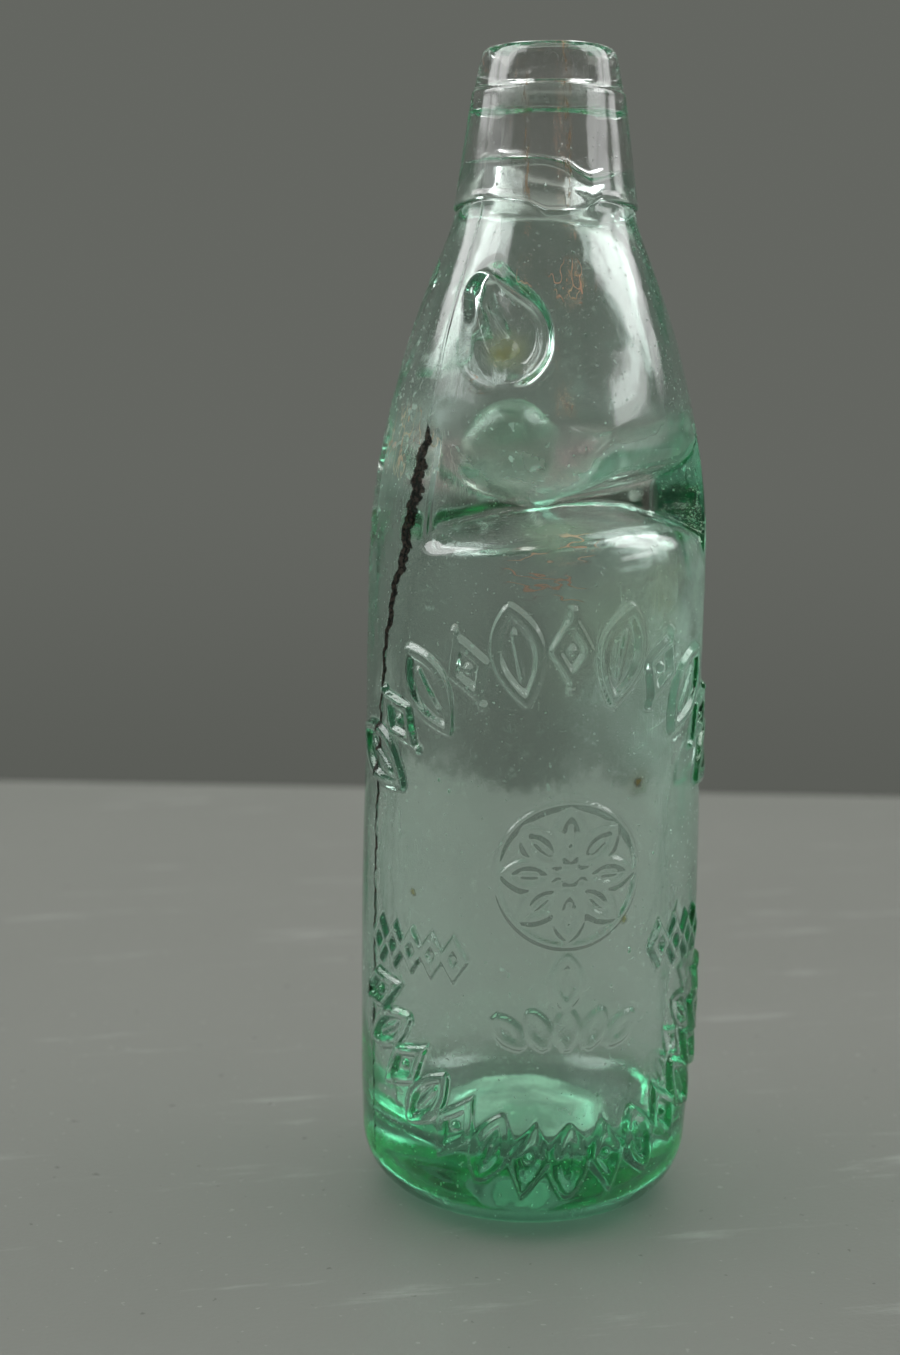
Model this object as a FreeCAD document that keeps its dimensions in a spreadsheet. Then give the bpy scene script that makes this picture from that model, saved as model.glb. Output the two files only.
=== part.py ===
import FreeCAD, Part

# Marble-stoppered soda bottle in millimetres, in four pieces:
#   bottle_body  blown glass with a marble chamber, a pinched throat and two catching lugs
#   applied_lip  glass collar over the neck, with the mouth bore and the ring groove
#   seal_ring    rubber ring in the groove of the lip
#   marble       loose glass ball above the throat
#
# Frame: +Z up, origin at the centre of the foot's resting plane, front face towards -Y.
# The throat is pinched from two opposite sides, front and back, turned about Z by pinch_turn.
# Axis U runs outwards through the middle of the front pinch. Axis V runs along the flat web
# between the pinches. The throat bore, the lugs and the marble all lie on the -V side.

import math
import os

import Sketcher
from FreeCAD import Placement, Rotation, Vector

DIMENSIONS = {
    # foot and heel
    "pushup_height": 4.6,            # dome of the underside at the axis
    "pushup_flat_radius": 6.0,
    "pushup_arc": 23.0,
    "foot_inner_radius": 19.6,       # resting ring, inner edge
    "foot_outer_radius": 22.4,       # resting ring, outer edge
    "heel_arc": 12.2,
    "heel_top_height": 12.6,
    "heel_top_radius": 32.75,
    # body wall
    "belly_height": 58.0,
    "belly_radius": 33.3,
    "shoulder_height": 121.0,
    "shoulder_radius": 32.65,
    "shoulder_arc": 189.0,
    # neck
    "neck_base_height": 191.6,
    "neck_base_radius": 17.1,
    "neck_ledge_height": 192.7,
    "spigot_radius": 13.2,
    "spigot_top_height": 199.2,
    "neck_bore_radius": 9.6,
    "neck_bore_bottom_height": 194.6,
    # cavity
    "cavity_neck_height": 189.0,
    "cavity_neck_radius": 13.4,
    "cavity_shoulder_height": 119.0,
    "cavity_shoulder_radius": 28.0,
    "cavity_shoulder_arc": 182.0,
    "cavity_belly_height": 58.0,
    "cavity_belly_radius": 28.5,
    "cavity_heel_height": 17.5,
    "cavity_heel_radius": 27.9,
    "cavity_heel_arc": 10.5,
    "cavity_floor_radius": 18.8,     # outer edge of the domed floor
    "cavity_floor_height": 8.6,
    "cavity_floor_rise": 11.2,       # height of the floor at the axis
    "cavity_floor_flat_radius": 6.0,
    "cavity_floor_arc": 33.5,
    # pinched throat
    "pinch_turn": 20.0,              # degrees about Z
    "pinch_height": 138.6,           # middle of the web
    "pinch_web_half_height": 1.6,
    "pinch_depth_distance": 7.6,     # axis to the bottom of a pinch
    "pinch_half_width": 20.4,
    "pinch_reach": 45.0,             # axis to the outer end of the wedge
    "pinch_slope": 21.0,             # degrees, upper and lower faces
    "pinch_fillet": 1.2,
    "pinch_wall": 3.2,               # glass between a pinch and the cavity
    "pinch_end_wall": 2.9,           # the same at the two ends of a pinch
    "throat_offset": 6.4,            # along -V
    "throat_low_radius": 4.4,
    "throat_low_height": 134.4,
    "throat_top_radius": 6.2,
    "throat_top_height": 142.6,
    "throat_wall": 3.2,
    # catching lugs
    "lug_height": 168.0,
    "lug_centre_distance": 26.6,
    "lug_spread": 38.5,              # degrees each side of -V
    "lug_ball_radius": 8.0,
    "lug_tip_height": 182.0,
    "lug_tip_distance": 21.9,
    "lug_tip_spread": 13.0,          # degrees each side of -V
    "lug_tip_radius": 1.0,
    "lug_wall": 2.8,
    # applied lip
    "lip_bottom_radius": 17.3,
    "lip_shelf_height": 213.0,
    "lip_shelf_radius": 14.45,
    "lip_shelf_top_height": 213.6,
    "lip_shoulder_radius": 13.85,
    "lip_rim_height": 219.9,
    "lip_rim_radius": 12.55,
    "lip_top_height": 222.0,
    "lip_top_radius": 10.6,
    "lip_rim_arc": 2.25,
    "mouth_radius": 7.4,
    "mouth_flare_radius": 8.7,
    "mouth_flare_height": 220.7,
    "mouth_flare_arc": 1.9,
    "groove_top_height": 214.4,
    "groove_bottom_height": 209.4,
    "groove_radius": 10.7,
    "lip_bore_radius": 9.1,
    # seal ring
    "ring_inner_radius": 6.3,
    "ring_height": 4.9,
    "ring_round": 1.5,
    "ring_clearance": 0.05,
    # marble
    "marble_radius": 8.0,
    "marble_height": 148.92,
}

# Side of an edge's direction, seen in the section, to which its arc bulges
LEFT, RIGHT = 1, -1

doc = FreeCAD.newDocument("soda_bottle")
sheet = doc.addObject("Spreadsheet::Sheet", "Params")
for row, (alias, value) in enumerate(DIMENSIONS.items(), start=1):
    sheet.set(f"A{row}", alias)
    sheet.set(f"B{row}", str(value))
    sheet.setAlias(f"B{row}", alias)
doc.recompute()


# ---------------------------------------------------------------- helpers
def val(alias):
    return float(sheet.get(alias))


def bind(obj, prop, formula, unit="mm"):
    """Drive a property by a unitless formula of sheet cells."""
    obj.setExpression(prop, f"({formula}) * 1 {unit}")


def coordinate(alias):
    """Value and formula of a sheet cell. None stays None: the point lies on the axis line."""
    return None if alias is None else (val(alias), f"Params.{alias}")


def arc_between(start, end, radius, side):
    """Minor arc between two points. It is stored counter-clockwise."""
    chord = end - start
    left = Vector(-chord.y, chord.x, 0).normalize()
    sagitta_rest = math.sqrt(radius**2 - (chord.Length / 2) ** 2)
    centre = (start + end) * 0.5 - left * sagitta_rest * side
    first, last = (start, end) if side == RIGHT else (end, start)
    first_angle = math.atan2(first.y - centre.y, first.x - centre.x)
    last_angle = math.atan2(last.y - centre.y, last.x - centre.x)
    if last_angle < first_angle:
        last_angle += 2 * math.pi
    circle = Part.Circle(centre, Vector(0, 0, 1), radius)
    return Part.ArcOfCircle(circle, first_angle, last_angle)


def section(body, name, corners, arcs=None):
    """Closed sketch in the body's XZ plane, with every corner bound to the sheet.

    corners: (x, z) pairs, each a (value, formula) pair or None for zero
    arcs: {index of the edge's first corner: (radius alias, side)}; other edges are straight
    """
    arcs = arcs or {}
    sketch = body.newObject("Sketcher::SketchObject", name)
    plane = next(f for f in body.Origin.OriginFeatures if f.Role == "XZ_Plane")
    sketch.AttachmentSupport = (plane, [""])
    sketch.MapMode = "FlatFace"

    points = [Vector(x[0] if x else 0.0, z[0] if z else 0.0, 0) for x, z in corners]
    count = len(points)
    for i, start in enumerate(points):
        end = points[(i + 1) % count]
        if i in arcs:
            alias, side = arcs[i]
            edge = arc_between(start, end, val(alias), side)
        else:
            edge = Part.LineSegment(start, end)
        sketch.addGeometry(edge, False)

    # Sketcher numbers of each edge's first and last point: an arc bulging left runs backwards
    ends = [(2, 1) if i in arcs and arcs[i][1] == LEFT else (1, 2) for i in range(count)]
    for i in range(count):
        following = (i + 1) % count
        sketch.addConstraint(
            Sketcher.Constraint("Coincident", i, ends[i][1], following, ends[following][0])
        )
    for i, corner in enumerate(corners):
        first = ends[i][0]
        # -2 is the sketch's vertical axis, -1 its horizontal axis
        for kind, zero_line, entry in (
            ("DistanceX", -2, corner[0]),
            ("DistanceY", -1, corner[1]),
        ):
            if entry is None:
                sketch.addConstraint(Sketcher.Constraint("PointOnObject", i, first, zero_line))
            else:
                value, formula = entry
                number = sketch.addConstraint(
                    Sketcher.Constraint(kind, -1, 1, i, first, value)
                )
                bind(sketch, f"Constraints[{number}]", formula)
    for i, (alias, _) in arcs.items():
        number = sketch.addConstraint(Sketcher.Constraint("Radius", i, val(alias)))
        bind(sketch, f"Constraints[{number}]", f"Params.{alias}")
    doc.recompute()
    return sketch


def revolve(body, name, sketch):
    turn = body.newObject("PartDesign::Revolution", name)
    turn.Profile = sketch
    turn.ReferenceAxis = (sketch, ["V_Axis"])
    turn.Angle = 360.0
    body.Tip = turn
    doc.recompute()
    return turn


def round_edges(body, name, base, edges, radius_alias):
    fillet = body.newObject("PartDesign::Fillet", name)
    fillet.Base = (base, edges)
    bind(fillet, "Radius", f"Params.{radius_alias}")
    body.Tip = fillet
    doc.recompute()


def turned(name, outline):
    """Body turned about Z from rows of (radius, height[, arc radius, side]).

    The arc, where given, leads from that corner to the next one.
    """
    body = doc.addObject("PartDesign::Body", name)
    corners = [(coordinate(row[0]), coordinate(row[1])) for row in outline]
    arcs = {i: row[2:] for i, row in enumerate(outline) if len(row) > 2}
    revolve(body, name + "_turn", section(body, name + "_profile", corners, arcs))
    return body


def place_polar(obj, distance, angle, height):
    """Place an object by formulas: distance from Z, angle about Z in degrees, height."""
    bind(obj, "Placement.Base.x", f"({distance}) * cos(({angle}) * 1 deg)")
    bind(obj, "Placement.Base.y", f"({distance}) * sin(({angle}) * 1 deg)")
    bind(obj, "Placement.Base.z", height)


def place_on_throat_axis(obj, height):
    place_polar(obj, "Params.throat_offset", "Params.pinch_turn + 180", height)


def cut_in_turn(base, steps):
    """Cut tools from a shape one after another. steps: (name of the result, tool)."""
    for name, tool in steps:
        result = doc.addObject("Part::Cut", name)
        result.Base = base
        result.Tool = tool
        base = result
    doc.recompute()
    return base


def fuse(name, shapes):
    result = doc.addObject("Part::MultiFuse", name)
    result.Shapes = shapes
    doc.recompute()
    return result


# ---------------------------------------------------------------- bottle body
def outside_form():
    return turned("outside_form", [
        (None, "pushup_height"),
        ("pushup_flat_radius", "pushup_height", "pushup_arc", LEFT),
        ("foot_inner_radius", None),
        ("foot_outer_radius", None, "heel_arc", RIGHT),
        ("heel_top_radius", "heel_top_height"),
        ("belly_radius", "belly_height"),
        ("shoulder_radius", "shoulder_height", "shoulder_arc", RIGHT),
        ("neck_base_radius", "neck_base_height"),
        ("neck_base_radius", "neck_ledge_height"),
        ("spigot_radius", "neck_ledge_height"),
        ("spigot_radius", "spigot_top_height"),
        (None, "spigot_top_height"),
    ])


def cavity_form():
    return turned("cavity_form", [
        (None, "cavity_floor_rise"),
        ("cavity_floor_flat_radius", "cavity_floor_rise", "cavity_floor_arc", LEFT),
        ("cavity_floor_radius", "cavity_floor_height", "cavity_heel_arc", RIGHT),
        ("cavity_heel_radius", "cavity_heel_height"),
        ("cavity_belly_radius", "cavity_belly_height"),
        ("cavity_shoulder_radius", "cavity_shoulder_height", "cavity_shoulder_arc", RIGHT),
        ("cavity_neck_radius", "cavity_neck_height"),
        ("neck_bore_radius", "neck_bore_bottom_height"),
        ("neck_bore_radius", "spigot_top_height"),
        (None, "spigot_top_height"),
    ])


def pinch(name, facing, core=False):
    """Wedge that presses into the glass, drawn along +X and turned by facing + pinch_turn.

    A core is the wedge grown by the glass left behind it, for cutting the cavity.
    """
    wall = val("pinch_wall") if core else 0.0
    wall_cell = "Params.pinch_wall" if core else "0.0"
    end_wall_cell = "Params.pinch_end_wall" if core else "0.0"

    near = val("pinch_depth_distance") - wall
    far = val("pinch_reach")
    middle = val("pinch_height")
    angle = math.radians(val("pinch_slope"))
    half_near = val("pinch_web_half_height") + wall / math.cos(angle) - wall * math.tan(angle)
    half_far = half_near + (far - near) * math.tan(angle)

    # The same sizes as formulas
    near_text = f"(Params.pinch_depth_distance - {wall_cell})"
    slope = "Params.pinch_slope * 1 deg"
    half_near_text = (
        f"(Params.pinch_web_half_height + {wall_cell} / cos({slope}) - {wall_cell} * tan({slope}))"
    )
    half_far_text = f"({half_near_text} + (Params.pinch_reach - {near_text}) * tan({slope}))"

    near_x = (near, near_text)
    far_x = (far, "Params.pinch_reach")
    body = doc.addObject("PartDesign::Body", name)
    sketch = section(body, name + "_section", [
        (near_x, (middle - half_near, f"Params.pinch_height - {half_near_text}")),
        (far_x, (middle - half_far, f"Params.pinch_height - {half_far_text}")),
        (far_x, (middle + half_far, f"Params.pinch_height + {half_far_text}")),
        (near_x, (middle + half_near, f"Params.pinch_height + {half_near_text}")),
    ])

    pad = body.newObject("PartDesign::Pad", name + "_pad")
    pad.Profile = sketch
    pad.Midplane = True
    bind(pad, "Length", f"2 * (Params.pinch_half_width + {end_wall_cell})")
    doc.recompute()

    # Every edge except those around the outer face, which stands clear of the glass
    edges = [
        f"Edge{k}"
        for k, edge in enumerate(pad.Shape.Edges, start=1)
        if edge.CenterOfMass.x < far - 1.0
    ]
    round_edges(body, name + "_round", pad, edges, "pinch_fillet")

    body.Placement = Placement(
        Vector(0, 0, 0), Rotation(Vector(0, 0, 1), val("pinch_turn") + facing)
    )
    bind(body, "Placement.Rotation.Angle", f"Params.pinch_turn + {facing}", "deg")
    doc.recompute()
    return body


def throat_cone(name, wall="0"):
    """Cone of the throat bore, widened by a wall formula."""
    cone = doc.addObject("Part::Cone", name)
    bind(cone, "Radius1", f"Params.throat_low_radius + {wall}")
    bind(cone, "Radius2", f"Params.throat_top_radius + {wall}")
    bind(cone, "Height", "Params.throat_top_height - Params.throat_low_height")
    place_on_throat_axis(cone, "Params.throat_low_height")
    return cone


def lug(name, sign, wall="0"):
    """Teardrop: a low ball and a cone that runs up to a small tip nearer -V.

    sign is the side of -V, positive counter-clockwise about Z; wall is a formula added
    to both radii.
    """
    ball = doc.addObject("Part::Sphere", name + "_ball")
    tip = doc.addObject("Part::Sphere", name + "_tip")
    for sphere, radius, distance, spread, height in (
        (ball, "lug_ball_radius", "lug_centre_distance", "lug_spread", "lug_height"),
        (tip, "lug_tip_radius", "lug_tip_distance", "lug_tip_spread", "lug_tip_height"),
    ):
        bind(sphere, "Radius", f"Params.{radius} + {wall}")
        angle = f"Params.pinch_turn + 180 {sign} Params.{spread}"
        place_polar(sphere, f"Params.{distance}", angle, f"Params.{height}")
    doc.recompute()

    # The cone touches both spheres along a circle; it is worked out from their placements
    low = ball.Placement.Base
    axis = tip.Placement.Base - low
    length = axis.Length
    direction = axis.normalize()
    ball_radius = ball.Radius.Value
    tip_radius = tip.Radius.Value
    taper_sine = (ball_radius - tip_radius) / length
    taper_cosine = math.sqrt(1 - taper_sine**2)
    taper = doc.addObject("Part::Cone", name + "_taper")
    taper.Radius1 = ball_radius * taper_cosine
    taper.Radius2 = tip_radius * taper_cosine
    taper.Height = length + tip_radius * taper_sine - ball_radius * taper_sine
    taper.Placement = Placement(
        low + direction * (ball_radius * taper_sine), Rotation(Vector(0, 0, 1), direction)
    )
    return fuse(name, [ball, taper, tip])


def bottle_body():
    outside = outside_form()
    cavity = cavity_form()
    front_pinch = pinch("front_pinch", -90.0)
    back_pinch = pinch("back_pinch", 90.0)
    front_core = pinch("front_pinch_core", -90.0, core=True)
    back_core = pinch("back_pinch_core", 90.0, core=True)
    throat_bore = throat_cone("throat_bore")
    throat_glass = throat_cone("throat_glass", "Params.throat_wall")
    # Left and right as seen from outside on the -V side
    lug_left = lug("lug_left", "-")
    lug_right = lug("lug_right", "+")
    lug_left_core = lug("lug_left_core", "-", "Params.lug_wall")
    lug_right_core = lug("lug_right_core", "+", "Params.lug_wall")

    # The pinches spare the glass around the throat bore
    front_tool = cut_in_turn(front_pinch, [("front_pinch_tool", throat_glass)])
    back_tool = cut_in_turn(back_pinch, [("back_pinch_tool", throat_glass)])
    pressed = cut_in_turn(outside, [
        ("pressed_outside_1", front_tool),
        ("pressed_outside_2", back_tool),
        ("pressed_outside_3", lug_left),
        ("pressed_outside", lug_right),
    ])
    chambers = cut_in_turn(cavity, [
        ("cavity_1", front_core),
        ("cavity_2", back_core),
        ("cavity_3", lug_left_core),
        ("cavity_4", lug_right_core),
    ])
    hollow = fuse("cavity", [chambers, throat_bore])
    bottle = cut_in_turn(pressed, [("bottle", hollow)])
    bottle.Label = "bottle_body"
    return bottle


# ---------------------------------------------------------------- applied lip
def applied_lip():
    lip = turned("lip", [
        ("spigot_radius", "neck_ledge_height"),
        ("lip_bottom_radius", "neck_ledge_height"),
        ("lip_shelf_radius", "lip_shelf_height"),
        ("lip_shoulder_radius", "lip_shelf_top_height"),
        ("lip_rim_radius", "lip_rim_height", "lip_rim_arc", RIGHT),
        ("lip_top_radius", "lip_top_height"),
        ("mouth_flare_radius", "lip_top_height", "mouth_flare_arc", RIGHT),
        ("mouth_radius", "mouth_flare_height"),
        ("mouth_radius", "groove_top_height"),
        ("groove_radius", "groove_top_height"),
        ("groove_radius", "groove_bottom_height"),
        ("lip_bore_radius", "groove_bottom_height"),
        ("lip_bore_radius", "spigot_top_height"),
        ("spigot_radius", "spigot_top_height"),
    ])
    lip.Label = "applied_lip"
    return lip


# ---------------------------------------------------------------- seal ring
def seal_ring():
    """Rectangular ring, clear of the groove's floor and wall, rounded along its bore."""
    inner_radius = val("ring_inner_radius")
    bottom_height = val("groove_bottom_height") + val("ring_clearance")
    bottom_text = "Params.groove_bottom_height + Params.ring_clearance"

    inner = coordinate("ring_inner_radius")
    outer = (
        val("groove_radius") - val("ring_clearance"),
        "Params.groove_radius - Params.ring_clearance",
    )
    bottom = (bottom_height, bottom_text)
    top = (bottom_height + val("ring_height"), bottom_text + " + Params.ring_height")

    ring = doc.addObject("PartDesign::Body", "ring")
    ring.Label = "seal_ring"
    corners = [(inner, bottom), (outer, bottom), (outer, top), (inner, top)]
    turn = revolve(ring, "ring_turn", section(ring, "ring_section", corners))
    bore_edges = [
        f"Edge{k}"
        for k, edge in enumerate(turn.Shape.Edges, start=1)
        if edge.Curve.TypeId == "Part::GeomCircle"
        and abs(edge.Curve.Radius - inner_radius) < 0.01
    ]
    round_edges(ring, "ring_round_off", turn, bore_edges, "ring_round")
    return ring


# ---------------------------------------------------------------- marble
def glass_marble():
    marble = doc.addObject("Part::Sphere", "marble")
    bind(marble, "Radius", "Params.marble_radius")
    place_on_throat_axis(marble, "Params.marble_height")
    return marble


# ---------------------------------------------------------------- build, check and write
pieces = [bottle_body(), applied_lip(), seal_ring(), glass_marble()]
doc.recompute()

failed = [o.Name for o in doc.Objects if "Invalid" in o.State or "Error" in o.State]
if failed:
    raise SystemExit(f"failed objects: {failed}")
os.makedirs("parts", exist_ok=True)
for piece in pieces:
    if piece.Shape.isNull() or not piece.Shape.isValid():
        raise SystemExit(f"{piece.Label} has no valid shape")
    piece.Shape.exportStep(os.path.join("parts", piece.Label + ".step"))
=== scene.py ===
import math

import bpy
import numpy as np
from mathutils import Matrix, Vector


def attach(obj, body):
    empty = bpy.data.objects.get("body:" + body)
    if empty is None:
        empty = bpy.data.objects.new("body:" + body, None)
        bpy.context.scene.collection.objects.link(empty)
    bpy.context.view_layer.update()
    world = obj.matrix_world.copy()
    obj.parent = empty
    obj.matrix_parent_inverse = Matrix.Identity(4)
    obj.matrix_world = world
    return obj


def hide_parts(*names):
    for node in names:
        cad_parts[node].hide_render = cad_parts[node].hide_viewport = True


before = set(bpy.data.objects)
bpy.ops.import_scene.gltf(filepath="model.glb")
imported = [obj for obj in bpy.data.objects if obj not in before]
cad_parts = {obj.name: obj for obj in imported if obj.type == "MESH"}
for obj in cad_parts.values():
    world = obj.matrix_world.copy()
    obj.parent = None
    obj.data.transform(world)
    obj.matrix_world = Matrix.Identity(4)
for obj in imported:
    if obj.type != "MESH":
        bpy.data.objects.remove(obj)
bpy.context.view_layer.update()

MM = 0.001
RNG = np.random.default_rng(11)

# ---------------------------------------------------------------- mesh resolution
COLUMNS = 480
HALF_COLUMNS = COLUMNS // 2  # the inside has half the columns
OUTER_ROWS = 420
INNER_ROWS = 240
MARBLE_LEVEL = 5

# ---------------------------------------------------------------- measures of the bottle, mm
# Outside of the body: height, radius
OUTSIDE = np.array([
    (12.6, 32.55), (15.6, 32.72), (22, 33.0), (28.4, 33.13), (41.1, 33.25), (53.6, 33.30),
    (66, 33.28), (78.3, 33.15), (86.4, 32.95), (98.5, 32.76), (110, 32.62), (118.3, 32.58),
    (126.2, 32.60), (130.1, 32.48), (134, 32.30), (137.8, 31.99), (141.7, 31.50),
    (145.6, 30.88), (149.4, 30.15), (153.2, 29.35), (157, 28.46), (160.8, 27.50),
    (164.6, 26.50), (168.4, 25.45), (172.1, 24.28), (175.9, 22.96), (179.6, 21.54),
    (183.5, 20.02), (187, 18.65), (190, 17.62), (192, 17.1), (194.6, 16.75)])
# Inside of the body: height, radius
INSIDE = np.array([
    (23.0, 27.3), (28, 28.0), (36, 28.4), (58, 28.5), (90, 28.3), (119, 28.1), (130, 27.9),
    (140, 27.2), (150, 25.8), (160, 23.5), (170, 20.5), (180, 16.9), (186, 14.5),
    (190, 12.7), (193, 11.3), (196, 10.3), (199, 9.75), (203, 9.5)])

HEEL_TOP, HEEL_RADIUS = OUTSIDE[0]
FOOT_RADIUS = 21.5
PUNT_HEIGHT = 4.6  # hollow under the base, at the axis
FLOOR_EDGE_RADIUS = 18.0
WALL_FOOT = 23.0  # where the inner wall starts to round into the floor
FLOOR_HEIGHT = 13.4
FLOOR_DOME = 1.8  # rise of the floor at the axis
ORNAMENT_RADIUS = 33.0  # the ornament is unrolled at this radius
WALL = 2.7  # glass left behind the dimples

PINCH_ANGLE = math.radians(18.5)  # the near pinch
PINCH_X, PINCH_Y = math.sin(PINCH_ANGLE), -math.cos(PINCH_ANGLE)
WEB_ANGLE = PINCH_ANGLE - math.pi / 2  # the -v end of the web, between the dimples
# The pressed area: v, lower edge height, upper edge height
PINCH = np.array([
    (-31.5, 131.0, 160.0), (-28.5, 133.0, 154.0), (-26, 134.0, 149.0), (-24, 134.4, 145.4),
    (-21, 134.9, 142.4), (-14, 136.0, 140.3), (-9, 136.6, 138.7), (-5, 137.0, 138.1),
    (0, 137.4, 139.2), (6, 137.5, 140.0), (13, 137.1, 140.8), (21, 135.3, 142.0),
    (27, 134.2, 142.8)])
# How far the pressed surface has returned to the round wall: distance below or above, share
RETURN_BELOW = [
    (-1, 0), (0, 0), (1, 0.34), (2, 0.68), (2.6, 0.83), (3.2, 0.885), (4, 0.916), (5, 0.941),
    (6, 0.960), (7, 0.975), (8, 0.986), (9, 0.993), (10, 0.998), (11.5, 1), (13, 1)]
RETURN_ABOVE = [
    (-1, 0), (0, 0), (2, 0.34), (4, 0.64), (6, 0.84), (9, 0.955), (12, 0.993), (15, 1)]
THROAT = [(128, 4.2), (134, 4.5), (139, 5.3), (143, 6.6), (147, 7.4)]  # height, radius
WEB_HALF = {"outer": 8.0, "inner": 4.3}  # half thickness of each surface's web along u
INNER_GAP = 2.5  # the inner pinch reaches this much past the outer one

MARBLE_CENTRE = np.array([-6.014, -2.189, 148.92])
MARBLE_RADIUS = 7.93
MARBLE_V = -6.4  # the marble's place along v

# Teardrop dimples, one on each side of the web: angle from the web, round and tip radii
DIMPLE_OFFSET = {1: math.radians(39.6), -1: math.radians(-50.0)}
DIMPLE_RADII = {1: (8.0, 3.9), -1: (7.0, 3.0)}
DIMPLE_HEIGHT = 168.7  # of the round end's centre
DIMPLE_TIP = (-5.9, 7.9)  # tip centre from round centre: away from the web, up
DIMPLE_UNROLL = 24.6  # wall radius at the dimples

# Near mould seam: height, angle in degrees
SEAM = [(0, -79), (37, -78.5), (80, -78), (106, -76), (119, -71), (130, -64), (139, -61.5),
        (149, -59.5), (165, -59), (195, -59), (225, -59)]
MM_PER_DEGREE = 0.57  # round the wall, at the seams
# Width of the dark crust along the near seam: height, width
CRUST_WIDTH = [(0, 0.0), (20, 0.2), (60, 0.36), (100, 0.5), (118, 0.95), (130, 1.35),
               (140, 1.5), (147, 1.25), (151, 0.6), (154, 0.0), (230, 0.0)]

COLLAR_LEVEL = 193.0
# Wavy lower edge of the collar: angle in degrees, height above COLLAR_LEVEL
COLLAR_WAVE = [(-170, -0.3), (-130, 0.5), (-103, -0.9), (-53, 0.9), (-28, 0.5), (-13, -1.25),
               (9, -0.8), (22, 0.95), (47, 0.2), (77, -0.4), (117, 0.7), (150, 0.1)]
COLLAR_WAVE[4] = (-28, 0.3 + 0.2) if False else (-28, 0.3) if False else (-28, -0.0) \
    if False else COLLAR_WAVE[4]
COLLAR_WAVE = list(zip(
    (-170, -130, -103, -53, -28, -13, 9, 22, 47, 77, 117, 150),
    (-0.3, 0.5, -0.9, 0.9, 0.3, -1.25, -0.8, 0.95, 0.2, -0.4, 0.7, 0.1)))
# Top of the blown neck inside the collar: angle in degrees, height
NECK_TOP = [(-160, 200.1), (-103, 200.6), (-73, 201.0), (-23, 201.0), (-3, 200.4),
            (29, 197.5), (52, 198.2), (77, 198.9), (137, 199.5)]
# Joint between neck and collar: radius, share of the way from edge to top, height offset
JOINT = [(16.60, 0, 0.05), (15.6, 0, 0.35), (14.2, 0, 0.55), (13.1, 0, 0.8),
         (12.8, 0.25, 0.6), (12.5, 0.5, 0.4), (12.2, 0.78, 0.2), (11.9, 1.0, -0.45),
         (11.3, 1.0, -0.15), (10.5, 1.0, 0.0), (9.85, 1.0, -0.05)]
JOINT_GAP = 0.012

# Rolled lower rim of the lip: height above the collar edge, radius
LIP_RIM = [(-0.20, 16.98), (-0.10, 17.22), (0.30, 17.40), (0.9, 17.34)]
# Outside of the lip: height, radius
LIP_OUTSIDE = np.array([
    (194.6, 17.14), (197, 16.78), (201.6, 16.10), (205, 15.62), (209.4, 14.97),
    (212.6, 14.50), (213.3, 14.42), (213.7, 14.30), (214.0, 14.02), (214.4, 13.86),
    (216, 13.55), (218.1, 13.14), (219.8, 12.80), (220.7, 12.50), (221.3, 12.12),
    (221.75, 11.55), (221.95, 10.9)])
# Rows up the outside of the lip: from, to, count
LIP_RUNS = [(194.6, 212.2, 30), (212.7, 214.6, 12), (215.1, 219.6, 9), (219.95, 221.95, 10)]
# Mouth and bore, from the top down, with the groove of the ring: height, radius
MOUTH = [(221.98, 10.2), (221.85, 9.6), (221.5, 9.0), (220.9, 8.45), (220.0, 8.0),
         (218.8, 7.7), (217.4, 7.5), (216, 7.42), (215.1, 7.44), (214.85, 7.5), (214.6, 7.75),
         (214.48, 8.4), (214.42, 9.4), (214.35, 10.3), (214.1, 10.68), (213.3, 10.76),
         (211.8, 10.76), (210.3, 10.74), (209.75, 10.62), (209.42, 10.3), (209.3, 9.9),
         (209.15, 9.5), (208.7, 9.2), (208.0, 9.1), (206.5, 9.06), (204.8, 9.06), (203.4, 9.1)]
MOUTH_TOP_ROWS = 4  # mouth rows that still count as outside

RING_COLUMNS, RING_SECTION_POINTS = 160, 40
RING_RADIUS, RING_HEIGHT = 8.52, 211.88  # centre of the section
RING_HALF_WIDTH, RING_HALF_HEIGHT = 2.08, 2.32
RING_SQUARENESS = 3.2  # exponent of the superellipse section


# ---------------------------------------------------------------- numeric helpers
def smooth_curve(points, x):
    """Monotone cubic through (x, y) points."""
    xs, ys = np.asarray(points, float).T
    steps = np.diff(xs)
    slopes = np.diff(ys) / steps
    tangents = np.zeros_like(ys)
    for i in range(1, len(xs) - 1):
        if slopes[i - 1] * slopes[i] > 0:
            before = 2 * steps[i] + steps[i - 1]
            after = steps[i] + 2 * steps[i - 1]
            tangents[i] = (before + after) / (before / slopes[i - 1] + after / slopes[i])
    tangents[0], tangents[-1] = slopes[0], slopes[-1]
    x = np.clip(np.asarray(x, float), xs[0], xs[-1])
    i = np.clip(np.searchsorted(xs, x, side="right") - 1, 0, len(xs) - 2)
    t = (x - xs[i]) / steps[i]
    return (
        ys[i] * (1 + 2 * t) * (1 - t) ** 2
        + tangents[i] * steps[i] * t * (1 - t) ** 2
        + ys[i + 1] * t * t * (3 - 2 * t)
        + tangents[i + 1] * steps[i] * t * t * (t - 1)
    )


def wrap(degrees):
    return (degrees + 180) % 360 - 180


def wrap_radians(angle):
    return np.angle(np.exp(1j * angle))


def ring_curve(points, angle):
    """Periodic smooth curve through (degrees, value) points."""
    points = np.asarray(points, float)
    turns = np.concatenate([points + (turn, 0) for turn in (-360, 0, 360)])
    return smooth_curve(turns, wrap(np.degrees(angle)))


def soft_min(a, b, width):
    share = np.clip(0.5 + 0.5 * (b - a) / width, 0, 1)
    return b * (1 - share) + a * share - width * share * (1 - share)


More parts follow.
